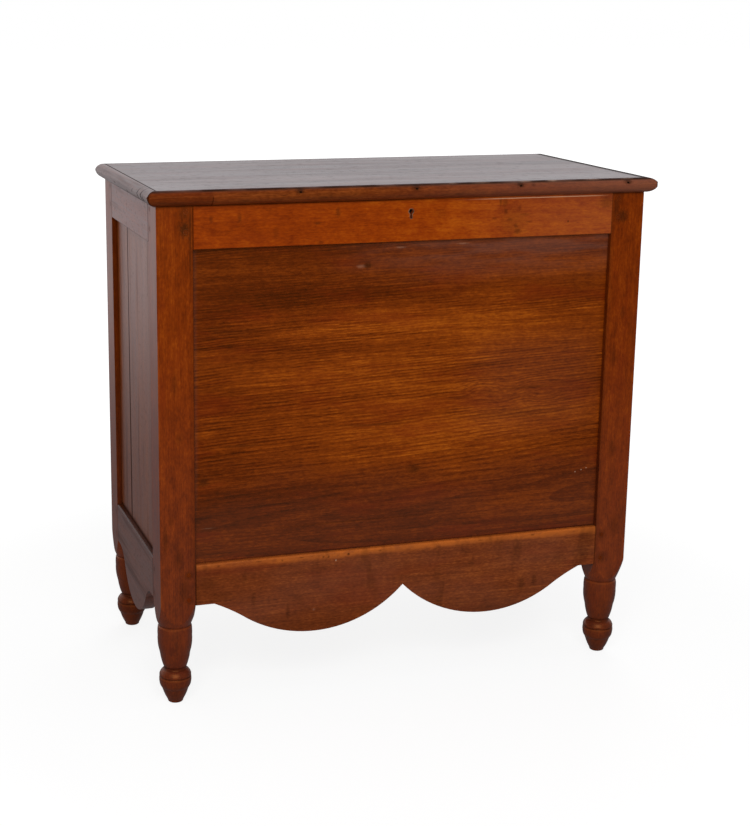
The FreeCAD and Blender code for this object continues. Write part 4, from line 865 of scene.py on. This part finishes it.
def end_moulding_marks(board):
    r = board.recipe
    inner = board.edge(-abs(board.x), -lid_high.x, 0.0026)
    right_top = board.edge(board.z, lid_high.z, 0.010) * r.step(board.x, 0, 0.01)
    under = r.step(board.z, 0.851, 0.860, 0.35, 0.0)
    mitre = board.edge(lid_high.x - abs(board.x) + lid_low.y - board.y, 0, 0.0025) * 0.8
    is_left = r.step(board.x, -0.01, 0.01, 1.0, 0.0)
    splits = board.spots(board.y, board.z, CRACKS) * is_left
    return {"grime": highest(board, inner * 0.95, right_top * 0.85, side_soil(board), under, mitre,
                             splits),
            "bloom": r.step(board.streaks(4, 12), -0.2, 0.2) * 0.15}


END_TONES = [colour(62, 24, 6), colour(88, 37, 12), colour(116, 56, 22)]
end_moulding_wood = wood("cherry_end_mouldings", "y", END_TONES, 43, pith=(0.0, 0.6), rings=0.12,
                         sheen=WHITE_SHEEN, marks=end_moulding_marks)
dress(end_moulding_wood, "moulding_wood", "lid_moulding_left", "lid_moulding_right")

# %% [markdown]
# ## The inside, and the back
# Nobody waxed the inside. Poplar goes grey and straw brown there, and stays matt. The same wood
# is made three times, with its grain along, across and up: every piece lies at the origin,
# unturned, so a pattern can't be turned with its piece.

# %% Bare poplar
POPLAR_TONES = [colour(104, 74, 48), colour(148, 112, 78), colour(184, 150, 112)]


def poplar_marks(board):
    return {"stain": board.recipe.step(board.streaks(3, 7), 0.05, 0.25) * 0.25}


def poplar(name, grain, seed):
    return wood(name, grain, POPLAR_TONES, seed, pith=(0.1, 0.4), ring_width=0.009, lines=0.5,
                clouds=0.4, flecks=0.4, ruddy=0.0, roughness=0.7, specular=0.25,
                sheen=WHITE_SHEEN, marks=poplar_marks)


long_poplar = poplar("poplar_lengthwise", "x", 47)
dress(long_poplar, "inner_wood", "back_board_lower", "back_board_upper", "rail_back_top",
      "rail_back_bottom", "floor_board_front", "floor_board_middle", "floor_board_rear",
      "floor_cleat_front", "floor_cleat_back")
cross_poplar = poplar("poplar_crosswise", "y", 53)
dress(cross_poplar, "inner_wood", "floor_cleat_left", "floor_cleat_right", "lid_batten_left",
      "lid_batten_right")
upright_poplar = poplar("poplar_upright", "z", 59)
dress(upright_poplar, "inner_wood", "divider_left", "divider_right",
      *[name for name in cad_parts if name.startswith("divider_cleat")])

# %% [markdown]
# ## Brass and iron
# The hinges are brass, dulled brown. So is the thread round the keyhole, under a film of pale
# wax that takes most of its shine. The lock is filed iron. One even tone would look like
# plastic, so a slow noise mixes a darker tarnish in, and a fine one roughens the gloss.

# %% Metals
SPECK_HEIGHT = 0.00003
PATCH_HEIGHT = 0.00006


def metal(name, dark, light, roughness, metallic=1.0):
    """An old metal: a patchy tarnish, with fine scratches in its gloss."""
    recipe = Recipe(name)
    place = recipe.node("ShaderNodeTexCoord", output="Object")
    patches = recipe.noise(place, 90, 4, 0.6)
    specks = recipe.noise(place, 700, 2)
    base = recipe.mix(recipe.step(patches, 0.35, 0.65), dark, light)
    rough = roughness + (patches - 0.5) * 0.3 + (specks - 0.5) * 0.15
    bump = recipe.bump(specks * SPECK_HEIGHT + patches * PATCH_HEIGHT)
    return recipe.finish(Base_Color=base, Roughness=rough, Metallic=metallic, Normal=bump)


brass = metal("aged_brass", colour(120, 88, 44), colour(178, 142, 84), 0.42)
dress(brass, "brass", *[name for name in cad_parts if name.startswith("hinge_")])
waxed_brass = metal("waxed_brass", colour(100, 60, 38), colour(142, 94, 66), 0.5, metallic=0.3)
dress(waxed_brass, "brass", "keyhole_escutcheon")
iron = metal("filed_iron", colour(60, 54, 50), colour(104, 98, 92), 0.5)
dress(iron, "iron", "lock_case", "lock_cover", "lock_spring", "lock_key_pin", "lock_bolt",
      "strike_plate", "case_screws", "lid_screws", "lid_batten_screws")

# %% [markdown]
# ## One nail head
# Cut nails hold the front moulding. A cut nail has a small rectangular head, hammered until it
# is slightly domed, and a shank that tapers. A cube is flattened, its front is inset and pulled
# out for the dome, its back is drawn out for the shank, and a bevel softens the edges. The rest
# of the shank is inside the wood, so it isn't made.

# %% A nail head
NAIL_HEAD = Vector((0.0042, 0.0012, 0.0034))
SHANK_LENGTH = 0.004


def select_faces(mesh_object, wanted):
    """Select the faces of a mesh in edit mode by a test on their normals."""
    bpy.ops.object.mode_set(mode="OBJECT")
    for polygon in mesh_object.data.polygons:
        polygon.select = wanted(polygon.normal)
    bpy.ops.object.mode_set(mode="EDIT")


def nail_head():
    """A hammered rectangular head, facing the front, with the start of its shank."""
    bpy.ops.object.select_all(action="DESELECT")
    bpy.ops.mesh.primitive_cube_add(size=1)
    head = bpy.context.object
    head.scale = NAIL_HEAD
    bpy.ops.object.transform_apply(location=False, rotation=False, scale=True)
    bpy.ops.object.mode_set(mode="EDIT")
    bpy.ops.mesh.select_mode(type="FACE")
    select_faces(head, lambda normal: normal.y < -0.9)
    bpy.ops.mesh.inset(thickness=NAIL_HEAD.z * 0.2)
    bpy.ops.transform.translate(value=(0, -NAIL_HEAD.y * 0.35, 0))
    select_faces(head, lambda normal: normal.y > 0.9)
    bpy.ops.mesh.extrude_region_move(TRANSFORM_OT_translate={"value": (0, SHANK_LENGTH, 0)})
    bpy.ops.transform.resize(value=(0.5, 1, 0.5))
    bpy.ops.object.mode_set(mode="OBJECT")
    bevel = head.modifiers.new("soft_edges", "BEVEL")
    bevel.width = 0.0003
    bevel.segments = 2
    bpy.ops.object.modifier_apply(modifier=bevel.name)
    bpy.ops.object.shade_smooth_by_angle(angle=math.radians(50))
    return head


nail_iron = metal("nail_iron", colour(26, 14, 8), colour(58, 34, 22), 0.65)
pattern = nail_head()
print("a nail head has", len(pattern.data.polygons), "faces and is",
      round(NAIL_HEAD.x * 1000, 1), "mm wide")

# %% [markdown]
# ## Driving the nails
# The head is copied along the strip, with its own mesh each time. The nails were driven
# slantwise through the rounded upper half, so each copy asks the moulding for its nearest point
# and turns to face along the normal there. A small random twist keeps them from looking printed.

# %% Nails
NAIL_AIM = (-0.236, 0.8775)
NAIL_SINK = 0.0004
NAIL_TWIST = 14


def set_nails(pattern):
    """Copies of one head, each sunk where the moulding's surface is."""
    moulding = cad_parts["lid_moulding_front"]
    draw = random.Random(71)
    heads = []
    for place in NAIL_PLACES:
        head = pattern.copy()
        head.data = pattern.data.copy()
        bpy.context.collection.objects.link(head)
        _, spot, normal, _ = moulding.closest_point_on_mesh(Vector((place, *NAIL_AIM)))
        facing = Vector((0, -1, 0)).rotation_difference(normal).to_matrix().to_4x4()
        twist = Matrix.Rotation(math.radians(draw.uniform(-NAIL_TWIST, NAIL_TWIST)), 4, "Y")
        head.data.transform(Matrix.Translation(spot - normal * NAIL_SINK) @ facing @ twist)
        head.name = f"moulding_nail_{len(heads) + 1}"
        head.data.materials.append(nail_iron)
        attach(head, "lid")
        heads.append(head)
    bpy.data.objects.remove(pattern)
    return heads


nails = set_nails(pattern)
print("nails:", [nail.name for nail in nails])

# %% [markdown]
# ## The studio
# The floor is white paper that runs out of sight, so that the chest stands in a plain bright
# field. For the camera its brightness is mostly its own light, which leaves the shadow of the
# chest on it. What the polished wood mirrors matters more: a pale room behind the chest greys
# the lid and the sides, and a dark room behind the camera leaves the front warm.

# %% Floor
FLOOR_SIZE = 60
PAPER = 0.80
PAPER_BOUNCE = 0.38
NEAR_GLOW = 1.16
MIRRORED_TINT = (0.96, 0.90, 0.93)


def make_floor():
    recipe = Recipe("white_paper")
    place = recipe.node("ShaderNodeTexCoord", output="Object")
    split = recipe.node("ShaderNodeSeparateXYZ", values={0: place})
    across, back = split.output("X"), split.output("Y")
    away = recipe.length(place)
    ray = recipe.node("ShaderNodeLightPath", output="Is Camera Ray")
    glossy = ray.output("Is Glossy Ray")
    tint = recipe.mix(ray, (PAPER_BOUNCE, PAPER_BOUNCE, PAPER_BOUNCE, 1), (PAPER, PAPER, PAPER, 1))
    paper = recipe.node("ShaderNodeBsdfDiffuse", values={"Color": tint})
    glow = recipe.node("ShaderNodeEmission", values={"Color": (1, 1, 1, 1), "Strength": NEAR_GLOW})
    own_light = recipe.step(away, 0.7, 1.8, 0.72, 1.0)
    lit = recipe.node("ShaderNodeMixShader", values={0: ray * own_light, 1: paper, 2: glow})
    # For mirrors the paper glows by its own light: brightest behind the chest, faint right and
    # front.
    behind = recipe.step(back, 0.9, 4.4, 0.24, 0.86)
    before = recipe.step(back, -3.2, -0.8, 0.02, 0.25) * recipe.step(back, -0.3, 0.3, 1.0, 0.0)
    right = recipe.step(across, 1.2, 2.6) * 0.15
    strength = recipe.maths("MAXIMUM", recipe.maths("MAXIMUM", behind, right), before)
    mirrored = recipe.node("ShaderNodeEmission", values={"Color": (*MIRRORED_TINT, 1),
                                                         "Strength": strength})
    seen = recipe.node("ShaderNodeMixShader", values={0: glossy, 1: lit, 2: mirrored})
    recipe.node("ShaderNodeOutputMaterial", values={"Surface": seen})
    bpy.ops.mesh.primitive_plane_add(size=FLOOR_SIZE, location=(0, 0, 0))
    floor = bpy.context.object
    floor.name = "paper_floor"
    floor.data.materials.append(recipe.material)
    return floor


floor = make_floor()
print(floor.name, "is", FLOOR_SIZE, "m wide")

# %% [markdown]
# ## The room and the lamps
# The world's light is white where the camera looks past the floor, a soft fill for the wood, and
# a pale wall for what mirrors it. A wide lamp beside the camera gives the front its soft shadows. A
# weaker one lights the back, and is hidden from mirrors, or the polished lid would show it.

# %% Sky and lamps
SKY_FILL = 0.36
SKY_FRONT_GLOSS = 0.02
SKY_BACK_GLOSS = 1.04
SKY_TINT = (0.99, 0.99, 1.03)
# Where each lamp stands, where it points, its width in metres and its watts.
LAMPS = {"key_lamp": ((-1.0, -3.1, 2.1), (0, 0, 0.55), 2.6, 92),
         "back_lamp": ((1.4, 2.8, 1.8), (0, 0, 0.5), 2.0, 30)}


def make_sky():
    """White for the camera, soft fill for the chest, and a darker room behind the camera."""
    world = bpy.data.worlds.new("studio")
    bpy.context.scene.world = world
    world.use_nodes = True
    recipe = Recipe("sky")
    recipe.tree = world.node_tree
    recipe.tree.nodes.clear()
    toward = recipe.node("ShaderNodeTexCoord", output="Generated")
    split = recipe.node("ShaderNodeSeparateXYZ", values={0: toward})
    ray = recipe.node("ShaderNodeLightPath", output="Is Camera Ray")
    behind = recipe.step(split.output("Y"), -0.1, 0.6, SKY_FRONT_GLOSS, SKY_BACK_GLOSS)
    right = recipe.step(split.output("X"), 0.4, 0.9, SKY_FRONT_GLOSS, 0.25)
    gloss = recipe.maths("MAXIMUM", behind, right)
    glossy = ray.output("Is Glossy Ray")
    seen = recipe.maths("MAXIMUM", ray, ray.output("Is Transmission Ray"))
    strength = seen + (1 - seen) * (glossy * gloss + (1 - glossy) * SKY_FILL)
    tint = recipe.mix(glossy, (1, 1, 1, 1), (*SKY_TINT, 1))
    sky = recipe.node("ShaderNodeBackground", values={"Color": tint, "Strength": strength})
    recipe.node("ShaderNodeOutputWorld", values={"Surface": sky})
    bpy.data.materials.remove(recipe.material)


def add_lamp(name, place, aim, size, watts):
    bpy.ops.object.light_add(type="AREA", location=place)
    lamp = bpy.context.object
    lamp.name = name
    lamp.data.shape = "SQUARE"
    lamp.data.size = size
    lamp.data.energy = watts
    lamp.rotation_euler = (Vector(aim) - Vector(place)).to_track_quat("-Z", "Y").to_euler()
    return lamp


make_sky()
lamps = {name: add_lamp(name, *values) for name, values in LAMPS.items()}
lamps["back_lamp"].visible_glossy = False
bpy.context.scene.view_settings.view_transform = "Standard"
print("lamps:", sorted(lamps))

# %% [markdown]
